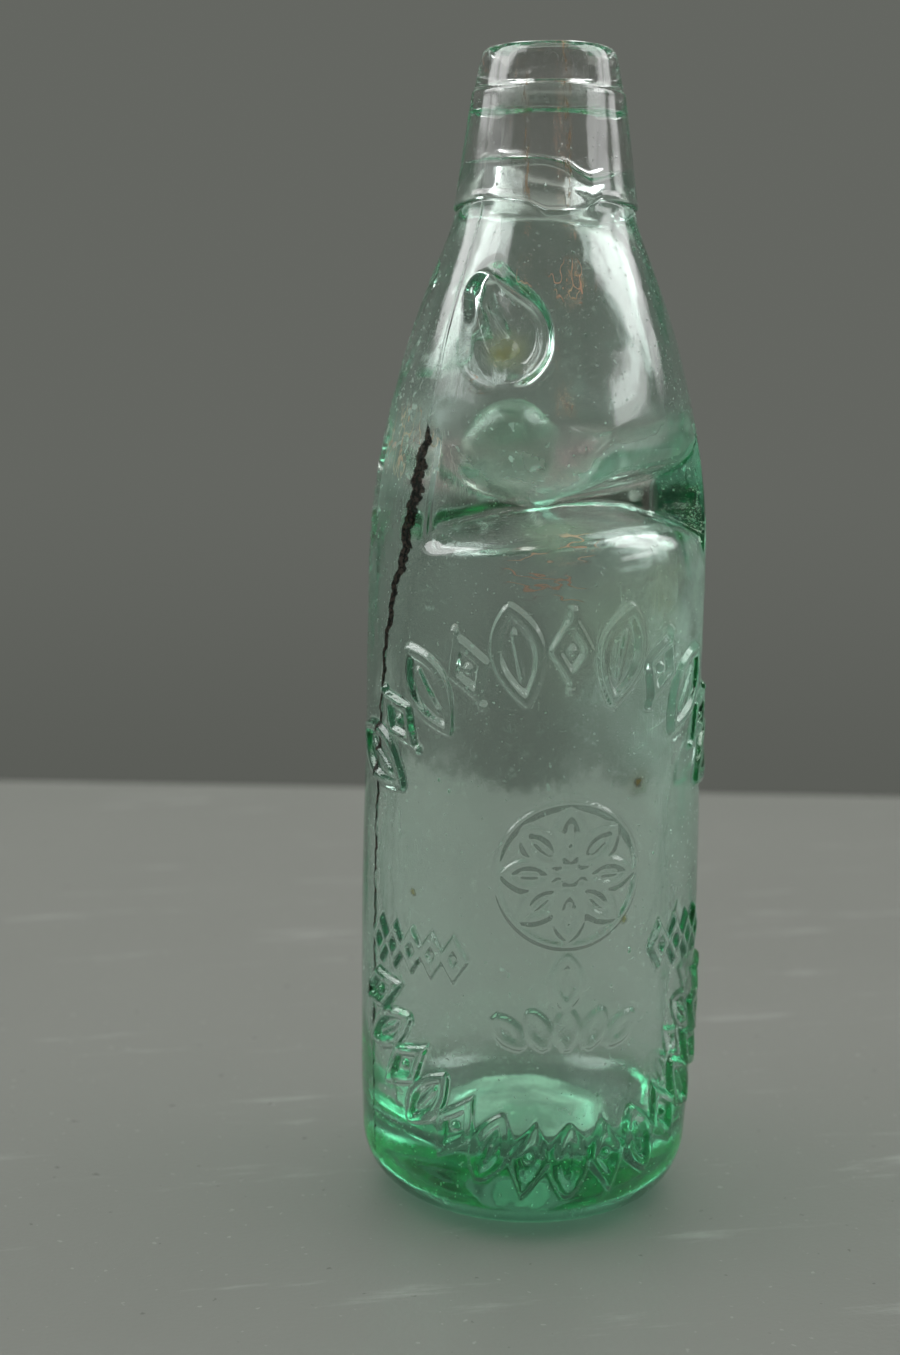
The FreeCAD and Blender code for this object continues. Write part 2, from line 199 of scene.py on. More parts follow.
def soft_max(a, b, width):
    return -soft_min(-a, -b, width)


def ease(start, end, x):
    """Smooth step from 0 at start to 1 at end."""
    t = np.clip((x - start) / (end - start), 0, 1)
    return t * t * (3 - 2 * t)


def nodes_by_density(low, high, density, count, samples=20000):
    """count values from low to high (high excluded), packed where density is high."""
    x = np.linspace(low, high, samples)
    weights = (density(x[1:]) + density(x[:-1])) / 2 * np.diff(x)
    total = np.concatenate([[0], np.cumsum(weights)])
    return np.interp(np.arange(count) / count * total[-1], total, x)


def ripple(seed, angle, z, terms, amp):
    """Slow hand-made unevenness, periodic round the bottle."""
    random = np.random.default_rng(seed)
    waves = np.zeros(np.broadcast(angle, z).shape)
    for _ in range(terms):
        lobes = random.integers(1, 9)
        length = random.uniform(28, 110)
        weight = random.uniform(0.4, 1.0)
        climb = z * 2 * math.pi / length * random.choice([-1, 1])
        waves = waves + weight * np.cos(lobes * angle + climb + random.uniform(0, 6.28))
    return amp * waves / math.sqrt(terms)


def polar(radius, angle, z):
    return np.stack(np.broadcast_arrays(radius * np.sin(angle), -radius * np.cos(angle), z), -1)


# ---------------------------------------------------------------- seam, collar and dimples
def seam_angle(z):
    return np.radians(smooth_curve(SEAM, z))


def collar_edge(angle):
    return COLLAR_LEVEL + ring_curve(COLLAR_WAVE, angle)


def collar_crease(angle):
    """Strength of the small crease inside the neck, deepest near the viewer."""
    return 0.15 + 0.85 * ease(-0.15, 0.25, np.cos(angle + math.radians(13)))


def dimple_place(angle, z, side):
    """Place on the wall: along a dimple's axis, across it, and depth inside its outline."""
    tip_x, tip_z = DIMPLE_TIP
    round_radius, tip_radius = DIMPLE_RADII[side]
    length = math.hypot(tip_x, tip_z)
    axis_x, axis_z = tip_x / length, tip_z / length
    x = wrap_radians(angle - (WEB_ANGLE + DIMPLE_OFFSET[side])) * side * DIMPLE_UNROLL
    y = z - DIMPLE_HEIGHT
    along, across = x * axis_x + y * axis_z, -x * axis_z + y * axis_x
    taper = (round_radius - tip_radius) / length
    flank = math.sqrt(1 - taper * taper)
    off = np.abs(across)
    station = off * -taper + along * flank
    beyond_tip = np.hypot(along - length, off) - tip_radius
    beside = off * flank + along * taper - round_radius
    outside = np.where(station > flank * length, beyond_tip, beside)
    outside = np.where(station < 0, np.hypot(along, off) - round_radius, outside)
    return along, across, -outside


def dimple_inside(angle, z):
    """Depth inside the outline of the nearer dimple."""
    return np.maximum(dimple_place(angle, z, -1)[2], dimple_place(angle, z, 1)[2])


def dimple_depth(angle, z, inner):
    """How far the dimples push the outer or inner surface in."""
    deepest = 0
    for side in (-1, 1):
        along, across, inside = dimple_place(angle, z, side)
        if inner:
            flank = (1.45 - 0.65 * ease(0.5, 5.0, across)) * (inside + WALL)
            depth = soft_max(soft_min(flank, 5.2 + 0.10 * inside, 2.0), 0, 2.0)
        else:
            flank = (2.3 - 1.75 * ease(-1.0, 5.0, across)) * inside
            depth = soft_max(soft_min(flank, 4.3 + 0.16 * inside, 1.0), 0, 0.7)
            # the fold that runs down from the tip
            fold_along = 0.99 * along + 0.14 * across
            fold_across = 0.99 * across - 0.14 * along
            fold = np.exp(-((fold_across / 0.75) ** 2)) * ease(-1.0, 2.0, fold_along)
            depth = depth - 1.4 * fold * ease(0.2, 1.4, inside)
        deepest = np.maximum(deepest, depth)
    return deepest


# ---------------------------------------------------------------- the two pinches
def disc(radius, v):
    """Half width along u of a circle round the marble's axis."""
    return np.sqrt(np.maximum(radius * radius - (v + MARBLE_V * -1) ** 2, 0))


def press(points, inner):
    """Presses the two pinches into a surface, each along its own direction."""
    x, y, z = points.T
    u = x * PINCH_X + y * PINCH_Y
    v = -x * PINCH_Y + y * PINCH_X
    width = np.abs(u)
    low = smooth_curve(PINCH[:, [0, 1]], v)
    high = smooth_curve(PINCH[:, [0, 2]], v)
    far = ease(0, 6, -u)
    if inner:
        half = WEB_HALF["inner"]
        below, above = (low - INNER_GAP) - z, z - (high + INNER_GAP)
        ends = half + 1.7 * soft_max(-19.6 - v, 0, 3.0) * far
        # the round throat under the marble
        ends = soft_max(ends, disc(smooth_curve(THROAT, z), v), 1.0)
        low_softness = 3.0
    else:
        half = WEB_HALF["outer"]
        below, above = low - z, z - high
        # the +v end stops at a steep wall, the far half of the -v end runs out slowly
        steep = half + (np.maximum(v - 18.8, 0) / 1.72) ** 4
        ends = soft_max(steep, half + 1.7 * soft_max(-17.4 - v, 0, 3.0) * far, 0.9)
        ends = soft_max(ends, disc(9.3, v) - 0.15 * np.abs(z - 138), 0.8)
        low_softness = 1.3
    web = soft_min(width, ends, 4.5)
    share_below = smooth_curve(RETURN_BELOW, soft_max(below, 0, low_softness))
    share_above = smooth_curve(RETURN_ABOVE, soft_max(above, 0, 2.4))
    share = np.clip(np.maximum(share_below, share_above), 0, 1)
    u = np.sign(u) * (web + np.maximum(width - web, 0) * share)
    return np.stack([u * PINCH_X - v * PINCH_Y, u * PINCH_Y + v * PINCH_X, z], 1)


# ---------------------------------------------------------------- raised ornament, heights 0 to 1
def ridge(offset, width, edge=0.38):
    return ease(0, 1, (width / 2 + edge - np.abs(offset)) / (2 * edge))


def leaf(along, across, length, width):
    """Outline of a pointed leaf with a middle rib."""
    half = length / 2
    t = np.clip(along / half, -1.2, 1.2)
    edge = width / 2 * (1 - t * t)
    slope = width / 2 * 2 * t / half
    offset = (np.abs(across) - edge) / np.sqrt(1 + slope * slope)
    outline = ridge(offset, 1.9, edge=0.42) * (np.abs(along) < half + 0.9)
    rib = ridge(across, 1.0) * ease(0, 1.2, half * 0.62 - np.abs(along))
    return np.maximum(outline, 0.75 * rib)


def lozenge(along, across, length, width, dot=0):
    """Outline of a lozenge, with a round dot of the given radius if any."""
    scale = (length * width / 4) / math.hypot(length / 2, width / 2)
    offset = (np.abs(along) / (length / 2) + np.abs(across) / (width / 2) - 1) * scale
    outline = ridge(offset, 1.8, edge=0.42)
    if dot:
        outline = np.maximum(outline, ease(0, 0.8, dot - np.hypot(along, across)))
    return outline


def bead(along, across, radius):
    return ease(0, 0.7, radius + 0.35 - np.hypot(along, across))


def arch(sideways, outward, radius, count, span):
    """Places on an arc of motifs: number, distance out from the arc, distance along it."""
    angle = np.degrees(np.arctan2(sideways, outward))
    distance = np.hypot(sideways, outward)
    for i in range(count):
        middle = -span / 2 + span * i / (count - 1)
        yield i, distance - radius, np.radians(angle - middle) * radius


def motifs(around, up):
    """The height of each motif at the unrolled place around, up."""
    # upper arch: leaves, and lozenges between two beads
    for i, out, along in arch(around + 2.0, up - 65.5, radius=48.0, count=11, span=118.0):
        if i % 2 == 0:
            yield leaf(out, along, length=17.0, width=8.0) * (np.abs(along) < 6)
        else:
            near = np.abs(along) < 6
            yield lozenge(out, along, length=10.5, width=6.4, dot=1.2) * near
            for side in (-1, 1):
                yield bead(out - side * 7.2, along, radius=0.8)
    # lower arch: lozenges and leaves
    for i, out, along in arch(around, 61.0 - up, radius=44.6, count=15, span=137.0):
        near = np.abs(along) < 5
        if i % 2 == 0:
            yield lozenge(out, along, length=11.5, width=6.2, dot=1.1) * near
        else:
            yield leaf(out, along, length=12.5, width=5.6) * near
    # small side rows: first place, pitch, count, height
    for first, pitch, count, level in ((-41.5, 4.7, 5, 54.8), (18.6, 4.8, 4, 56.4)):
        for i in range(count):
            place = around - (first + pitch * i)
            yield 0.8 * lozenge(up - level, place, length=6.0, width=3.9)
    # rosette in the middle: circle, eight petals, boss
    right, rise = around + 1.5, up - 72.0
    yield 0.7 * ridge(np.hypot(right, rise) - 13.4, 1.1)
    for i in range(8):
        turn = 2 * math.pi * i / 8
        out = right * math.sin(turn) + rise * math.cos(turn) - 7.4
        across = right * math.cos(turn) - rise * math.sin(turn)
        yield 0.8 * leaf(out, across, length=8.6, width=4.4) * (np.hypot(out, across) < 6)
    yield 0.9 * bead(right, rise, radius=2.0)
    # pendant and sprig under it
    yield 0.7 * leaf(up - 51.6, right, length=9.0, width=4.6) * (np.abs(right) < 5)
    for i in range(-2, 3):
        cos, sin = math.cos(math.radians(22 * i)), math.sin(math.radians(22 * i))
        right, rise = around + 1.2 - 5.4 * i, up - 42.6 + 0.21 * i * i
        blade = leaf(right * sin + rise * cos, right * cos - rise * sin, length=6.4, width=2.9)
        yield 0.6 * blade * (np.hypot(right, rise) < 5)


def ornament(around, up):
    relief = 0
    for motif in motifs(around, up):
        relief = np.maximum(relief, motif)
    return relief


# ---------------------------------------------------------------- mesh building
def make_object(name, verts, face_groups):
    """A smooth mesh from points in mm and arrays of equal-sized faces."""
    mesh = bpy.data.meshes.new(name)
    loops = np.concatenate([group.ravel() for group in face_groups]).astype(np.int32)
    sizes = [np.full(len(group), group.shape[1]) for group in face_groups]
    sizes = np.concatenate(sizes).astype(np.int32)
    starts = np.concatenate([[0], np.cumsum(sizes)[:-1]]).astype(np.int32)
    mesh.vertices.add(len(verts))
    mesh.vertices.foreach_set("co", (np.asarray(verts) * MM).astype(np.float32).ravel())
    mesh.loops.add(len(loops))
    mesh.loops.foreach_set("vertex_index", loops)
    mesh.polygons.add(len(sizes))
    mesh.polygons.foreach_set("loop_start", starts)
    mesh.polygons.foreach_set("loop_total", sizes)
    mesh.polygons.foreach_set("use_smooth", np.full(len(sizes), True))
    mesh.update(calc_edges=True)
    mesh.validate()
    return link(name, mesh)


def link(name, data):
    ob = bpy.data.objects.new(name, data)
    bpy.context.scene.collection.objects.link(ob)
    return ob


def strip(base0, base1, count, flip=False):
    """Quads between two closed rows of count vertices."""
    j = np.arange(count)
    k = (j + 1) % count
    quads = np.stack([base0 + j, base0 + k, base1 + k, base1 + j], 1)
    return quads[:, ::-1] if flip else quads


def strip_half(base0, count, base1):
    """Pentagons between a closed row of count vertices and one of half as many."""
    j = np.arange(count // 2)
    k = (j + 1) % (count // 2)
    doubled = [base0 + 2 * j, base0 + 2 * j + 1, base0 + (2 * j + 2) % count]
    return np.stack(doubled + [base1 + k, base1 + j], 1)


def fan(centre, base, count, flip=False):
    """Triangles from a centre vertex to a closed row."""
    j = np.arange(count)
    k = (j + 1) % count
    triangles = np.stack([np.full(count, centre), base + k, base + j], 1)
    return triangles[:, ::-1] if flip else triangles


def flag(ob, name, values, domain):
    layer = ob.data.attributes.new(name, "FLOAT", domain)
    layer.data.foreach_set("value", np.asarray(values, np.float32))


def flag_joined(ob, face_groups, first, end):
    """Marks the faces of the groups first to end (excluded) as buried in the joint."""
    marks = [np.full(len(group), float(first <= i < end)) for i, group in enumerate(face_groups)]
    flag(ob, "joined", np.concatenate(marks), "FACE")


def icosphere(levels):
    t = (1 + 5**0.5) / 2
    verts = [(-1, t, 0), (1, t, 0), (-1, -t, 0), (1, -t, 0), (0, -1, t), (0, 1, t),
             (0, -1, -t), (0, 1, -t), (t, 0, -1), (t, 0, 1), (-t, 0, -1), (-t, 0, 1)]
    faces = [(0, 11, 5), (0, 5, 1), (0, 1, 7), (0, 7, 10), (0, 10, 11), (1, 5, 9), (5, 11, 4),
             (11, 10, 2), (10, 7, 6), (7, 1, 8), (3, 9, 4), (3, 4, 2), (3, 2, 6), (3, 6, 8),
             (3, 8, 9), (4, 9, 5), (2, 4, 11), (6, 2, 10), (8, 6, 7), (9, 8, 1)]
    verts = [np.array(p, float) / np.linalg.norm(p) for p in verts]
    for _ in range(levels):
        middles, finer = {}, []

        def middle(i, j):
            key = (min(i, j), max(i, j))
            if key not in middles:
                point = verts[i] + verts[j]
                verts.append(point / np.linalg.norm(point))
                middles[key] = len(verts) - 1
            return middles[key]

        for a, b, c in faces:
            ab, bc, ca = middle(a, b), middle(b, c), middle(c, a)
            finer += [(a, ab, ca), (b, bc, ab), (c, ca, bc), (ab, bc, ca)]
        faces = finer
    return np.array(verts), np.array(faces)


BALL_VERTS, BALL_FACES = icosphere(1)


def bubble(size, stretch, centre):
    """Points of a small air bubble, stretched upwards."""
    return BALL_VERTS * size * np.array([1, 1, stretch]) + centre


def with_bubbles(verts, bubbles):
    """The points with the bubbles added, and the bubbles' inward-facing faces."""
    faces = [BALL_FACES[:, ::-1] + len(verts) + i * len(BALL_VERTS) for i in range(len(bubbles))]
    return np.concatenate([verts] + bubbles), np.concatenate(faces)


# ---------------------------------------------------------------- columns round the bottle
def column_density(degrees):
    """Denser over the ornament, at the pinch edges and by the dimples."""
    side = wrap(degrees)
    pinch, web = math.degrees(PINCH_ANGLE), math.degrees(WEB_ANGLE)
    density = 0.62 + 1.15 * ease(-101, -93, side) * (1 - ease(78, 86, side))
    # extra density, width in degrees, centres
    for extra, width, centres in (
        (4.6, 1.9, (pinch + 41.6, pinch - 41.6, pinch + 221.6, pinch + 138.4)),
        (1.6, 2.6, (pinch + 60, pinch - 60, pinch + 240, pinch + 120)),
        (0.9, 22.0, (web + 38.5, web - 38.5)),
    ):
        for centre in centres:
            density += extra * np.exp(-((wrap(degrees - centre) / width) ** 2))
    return density


ANGLES = np.radians(nodes_by_density(-180, 180, column_density, COLUMNS))
EDGE_Z = collar_edge(ANGLES)
TOP_Z = ring_curve(NECK_TOP, ANGLES)


def joint_rows(shift):
    """Rows of the joint between blown neck and collar, from outside in."""
    rows = []
    for radius, share, lift in JOINT:
        z = EDGE_Z * (1 - share) + TOP_Z * share + lift
        if 0.1 < share < 0.95:
            rows.append(polar(radius + shift, ANGLES, z))
        else:
            rows.append(polar(radius, ANGLES, z + shift))
    return rows


# ---------------------------------------------------------------- glass body
def outer_density(z):
    """Rows are denser over the ornament, the pinch and the dimples."""
    density = 1.6 + 1.25 * (1 - ease(110, 116, z))
    density += 2.0 * ease(120, 125, z) * (1 - ease(150, 156, z))
    return density + 0.9 * ease(156, 160, z) * (1 - ease(184, 188, z))


def inner_density(z):
    density = 0.85 + 1.6 * ease(124, 128, z) * (1 - ease(154, 158, z))
    return density + 0.7 * ease(156, 160, z) * (1 - ease(184, 188, z))


def under_rows():
    """The hollow underside, from the axis out to the foot."""
    rows = []
    for radius in np.linspace(1.4, FOOT_RADIUS, 16):
        z = PUNT_HEIGHT * 0.5 * (1 + math.cos(math.pi * radius / FOOT_RADIUS))
        oval = 0.25 * np.sin(2 * ANGLES + 1.0) * (radius / FOOT_RADIUS)
        uneven = ripple(3, ANGLES, radius * 2.0, terms=5, amp=0.12)
        rows.append(polar(radius + oval, ANGLES, z + uneven))
    return rows


def heel_rows():
    """The rounded heel, from the foot up to the wall."""
    rows = []
    for t in np.linspace(0, math.pi / 2, 26)[1:-1][::-1]:
        radius = FOOT_RADIUS + (HEEL_RADIUS - FOOT_RADIUS) * math.cos(t)
        z = HEEL_TOP * (1 - math.sin(t))
        relief = ornament(ORNAMENT_RADIUS * ANGLES, HEEL_TOP - t * 12.0) * 0.8
        uneven = ripple(5, ANGLES, z, terms=7, amp=0.10) * math.cos(t)
        drop = relief * math.sin(t) * (0.5 if z > 0.6 else 0)
        rows.append(polar(radius + (relief + uneven) * math.cos(t), ANGLES, z - drop))
    return rows


def wall_rows():
    """The outer wall, from the heel to the edge of the collar."""
    rows = []
    for level in nodes_by_density(HEEL_TOP, COLLAR_LEVEL, outer_density, OUTER_ROWS):
        z = level
        if level > 186:  # the last rows lean towards the wavy edge of the collar
            z = level + (EDGE_Z - COLLAR_LEVEL) * ease(186, COLLAR_LEVEL, level)
        radius = smooth_curve(OUTSIDE, z) + ripple(5, ANGLES, z, terms=7, amp=0.10)
        if level < 122:
            radius = radius + ornament(ORNAMENT_RADIUS * ANGLES, z) * 0.95
        # mould seams, the two sides of the mould meeting
        for turn in (0, math.pi):
            away = wrap_radians(ANGLES - seam_angle(level) - turn)
            away = np.degrees(away) * MM_PER_DEGREE
            radius = radius + 0.16 * np.exp(-((away / 0.34) ** 2))
        if 152 < level < 192:
            radius = radius - dimple_depth(ANGLES, z, inner=False)
        row = polar(radius, ANGLES, z)
        rows.append(press(row, inner=False) if 108 < level < 172 else row)
    return rows


def inner_rows():
    """The inside of the body, from the neck down to the floor."""
    angles, top = ANGLES[::2], TOP_Z[::2]
    crease = collar_crease(angles)
    rows = []
    # lift from the neck top, radius, share of the crease
    for lift, radius, share in ((-0.35, 9.25, 0.4), (-0.9, 9.3, 0.2), (-1.8, 9.4, 0.1)):
        rows.append(polar(radius + share * crease, angles, top + lift))
    for level in nodes_by_density(23.1, 196.0, inner_density, INNER_ROWS)[::-1]:
        z = level + (top - 199.0) * ease(186, 198, level) * 0.9
        uneven = ripple(21, angles, level, terms=9, amp=0.20)
        radius = smooth_curve(INSIDE, level) + uneven * (1 - ease(180, 192, level))
        if 152 < level < 190:
            wall = smooth_curve(OUTSIDE, z) - dimple_depth(angles, z, inner=True) - WALL
            clear = (1 - ease(0, 1.5, dimple_inside(angles, z) + 4.5)) * 6
            radius = soft_min(radius, wall + clear, 1.2)
        row = polar(radius, angles, z)
        rows.append(press(row, inner=True) if 108 < level < 172 else row)
    for t in np.linspace(0, 1, 20)[1:]:
        turn = t * math.pi / 2
        radius = FLOOR_EDGE_RADIUS + (INSIDE[0, 1] - FLOOR_EDGE_RADIUS) * math.cos(turn)
        z = WALL_FOOT - (WALL_FOOT - FLOOR_HEIGHT) * math.sin(turn)
        uneven = ripple(21, angles, z, terms=9, amp=0.20)
        rows.append(polar(radius + uneven, angles,
                          z + ripple(9, angles, radius, terms=6, amp=0.25)))
    for radius in np.linspace(16.7, 1.2, 14):
        share = radius / FLOOR_EDGE_RADIUS
        z = FLOOR_HEIGHT + FLOOR_DOME * 0.5 * (1 + math.cos(math.pi * share))
        uneven = ripple(9, angles, radius, terms=6, amp=0.25) * share
        rows.append(polar(radius, angles, z + uneven))
    return rows


def body_bubbles():
    """Small bubbles of air caught in the wall, none by the web or the pinch."""
    bubbles = []
    for _ in range(110):
        z = RNG.choice([RNG.uniform(14, 120), RNG.uniform(150, 190), RNG.uniform(156, 192)])
        angle = RNG.uniform(-math.pi, math.pi)
        if 150 < z < 190 and abs(wrap(math.degrees(angle - WEB_ANGLE))) < 70:
            continue
        if 150 <= z < 156:
            continue
        size = RNG.choice([0.14, 0.18, 0.23, 0.32], p=[0.4, 0.3, 0.2, 0.1])
        outer, inner = smooth_curve(OUTSIDE, z), smooth_curve(INSIDE, z)
        radius = outer - RNG.uniform(0.25, 0.75) * (outer - inner)
        bubbles.append(bubble(size, RNG.uniform(1.0, 2.4), polar(radius, angle, z)))
    return bubbles


def crust_amount(verts):
    """Dried dark residue along the near mould seam."""
    x, y, z = verts.T
    wander = 0.5 * np.sin(z * 0.55) + 0.5 * np.sin(z * 1.3 + 1) + 0.3 * np.sin(z * 2.9)
    run = seam_angle(z) + np.radians(wander)
    away = np.abs(wrap_radians(np.arctan2(x, -y) - run)) * np.hypot(x, y)
    width = smooth_curve(CRUST_WIDTH, z)
    return np.clip(1.5 - away / np.maximum(width, 0.05), 0, 1) * (width > 0.05)


def build_body():
    blown = under_rows() + heel_rows() + wall_rows()
    outer = blown + [polar(16.86, ANGLES, EDGE_Z - 0.12)] + joint_rows(-JOINT_GAP)
    inner = inner_rows()
    under_centre = np.array([[0, 0, PUNT_HEIGHT]])
    floor_centre = np.array([[0, 0, FLOOR_HEIGHT + FLOOR_DOME]])
    rows = [under_centre] + outer + inner + [floor_centre]
    starts = np.concatenate([[0], np.cumsum([len(row) for row in rows])])
    turn = len(outer)  # the last outer row
    last = turn + len(inner)  # the last inner row
    faces = [fan(0, starts[1], COLUMNS)]
    faces += [strip(starts[i], starts[i + 1], COLUMNS) for i in range(1, turn)]
    faces.append(strip_half(starts[turn], COLUMNS, starts[turn + 1]))
    faces += [strip(starts[i], starts[i + 1], HALF_COLUMNS) for i in range(turn + 1, last)]
    faces.append(fan(starts[last + 1], starts[last], HALF_COLUMNS, flip=True))
    verts, bubble_faces = with_bubbles(np.concatenate(rows), body_bubbles())
    faces.append(bubble_faces)

    ob = make_object("glass_body", verts, faces)
    flag_joined(ob, faces, len(blown) + 1, turn)
    inside = np.zeros(len(verts))
    inside[starts[turn + 1]:starts[-1]] = 1.0
    flag(ob, "inside", inside, "POINT")
    flag(ob, "residue", crust_amount(verts) * (1 - inside), "POINT")
    return ob


# ---------------------------------------------------------------- applied lip
def lip_bubbles():
    bubbles = []
    for _ in range(26):
        z = RNG.uniform(195, 208)
        angle = math.radians(RNG.uniform(-75, 75) - 13)
        size = RNG.choice([0.12, 0.16, 0.22])
        radius = smooth_curve(LIP_OUTSIDE, z) - RNG.uniform(0.8, 2.2)
        bubbles.append(bubble(size, RNG.uniform(1, 2.6), polar(radius, angle, z)))
    return bubbles


def build_lip():
    two_lobes, three_lobes = np.sin(ANGLES * 2 + 0.6), np.sin(ANGLES * 3 + 2.0)
    rows = [polar(16.84, ANGLES, EDGE_Z - 0.02)]
    for lift, radius in LIP_RIM:
        uneven = ripple(31, ANGLES, 0, terms=5, amp=0.05)
        rows.append(polar(radius + uneven, ANGLES, EDGE_Z + lift))
    for level in np.concatenate([np.linspace(*run) for run in LIP_RUNS]):
        lean = (EDGE_Z - COLLAR_LEVEL) * (1 - ease(194.6, 203, level)) * 0.6
        radius = smooth_curve(LIP_OUTSIDE, level)
        radius = radius + ripple(33, ANGLES, level, terms=6, amp=0.07)
        tilt = 0.10 * two_lobes if level > 219 else 0
        wave = 0.12 * three_lobes * ease(206, 211, level) * (1 - ease(216, 219, level))
        rows.append(polar(radius, ANGLES, level + lean + tilt + wave))
    bore_start = len(rows) + MOUTH_TOP_ROWS
    for z, radius in MOUTH:
        uneven = ripple(35, ANGLES, z, terms=5, amp=0.05)
        rows.append(polar(radius + uneven, ANGLES, z + 0.06 * two_lobes + 0.07 * three_lobes))
    # the crease over the neck top: lift, radius, share of the crease
    for lift, radius, share in ((1.5, 9.12, 0), (0.7, 9.14, 0.10), (0.25, 9.2, 0.42)):
        rows.append(polar(radius + share * collar_crease(ANGLES), ANGLES, TOP_Z + lift))
    joint_start = len(rows)
    rows += joint_rows(JOINT_GAP)[::-1]
    count = len(rows)
    faces = [strip(i * COLUMNS, (i + 1) % count * COLUMNS, COLUMNS) for i in range(count)]
    verts, bubble_faces = with_bubbles(np.concatenate(rows), lip_bubbles())
    faces.append(bubble_faces)

    ob = make_object("glass_lip", verts, faces)
    flag_joined(ob, faces, joint_start, count - 1)
    bore = np.zeros(len(verts))
    bore[bore_start * COLUMNS:joint_start * COLUMNS] = 1.0
    flag(ob, "inside", bore, "POINT")
    return ob


# ---------------------------------------------------------------- seal ring and marble
def build_ring():
    def squared(value):
        return math.copysign(abs(value) ** (2 / RING_SQUARENESS), value)

    angles = np.linspace(-math.pi, math.pi, RING_COLUMNS, endpoint=False)
    rows = []
    for t in np.linspace(0, 2 * math.pi, RING_SECTION_POINTS, endpoint=False):
        radius = RING_RADIUS + RING_HALF_WIDTH * squared(math.cos(t))
        z = RING_HEIGHT + RING_HALF_HEIGHT * squared(math.sin(t))
        uneven = ripple(41, angles, z * 3, terms=5, amp=0.035)
        rows.append(polar(radius + uneven, angles, z + 0.05 * np.sin(angles * 2 + 0.6)))
    count = len(rows)
    faces = [strip(i * RING_COLUMNS, (i + 1) % count * RING_COLUMNS, RING_COLUMNS, flip=True)
             for i in range(count)]
    return make_object("rubber_ring", np.concatenate(rows), faces)


def build_marble():
    verts, faces = icosphere(MARBLE_LEVEL)
    x, y, z = verts.T
    uneven = 0.05 * np.sin(x * 5 + 1) * np.cos(y * 4) + 0.04 * np.cos(z * 7 + 2)
    verts = verts * (MARBLE_RADIUS + uneven)[:, None]
    # pontil pit: a small shallow flat where the ball left the rod
    pit = np.array([0.35, -0.75, 0.56])
    pit /= np.linalg.norm(pit)
    closeness = (verts / np.linalg.norm(verts, axis=1)[:, None]) @ pit
    verts -= pit * (0.35 * ease(0.965, 0.995, closeness))[:, None]
    bubbles = []
    for _ in range(9):
        direction = RNG.normal(size=3)
        direction /= np.linalg.norm(direction)
        size = RNG.choice([0.15, 0.22, 0.32])
        bubbles.append(bubble(size, 1, direction * RNG.uniform(1.5, 6.5)))
    verts, bubble_faces = with_bubbles(verts, bubbles)
    return make_object("glass_marble", verts + MARBLE_CENTRE, [faces, bubble_faces])


body = build_body()
lip = build_lip()
ring = build_ring()
marble = build_marble()

for piece in (body, lip, ring):
    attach(piece, "bottle")
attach(marble, "marble")
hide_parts("bottle_body")
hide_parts("applied_lip")
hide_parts("seal_ring")
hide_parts("marble")


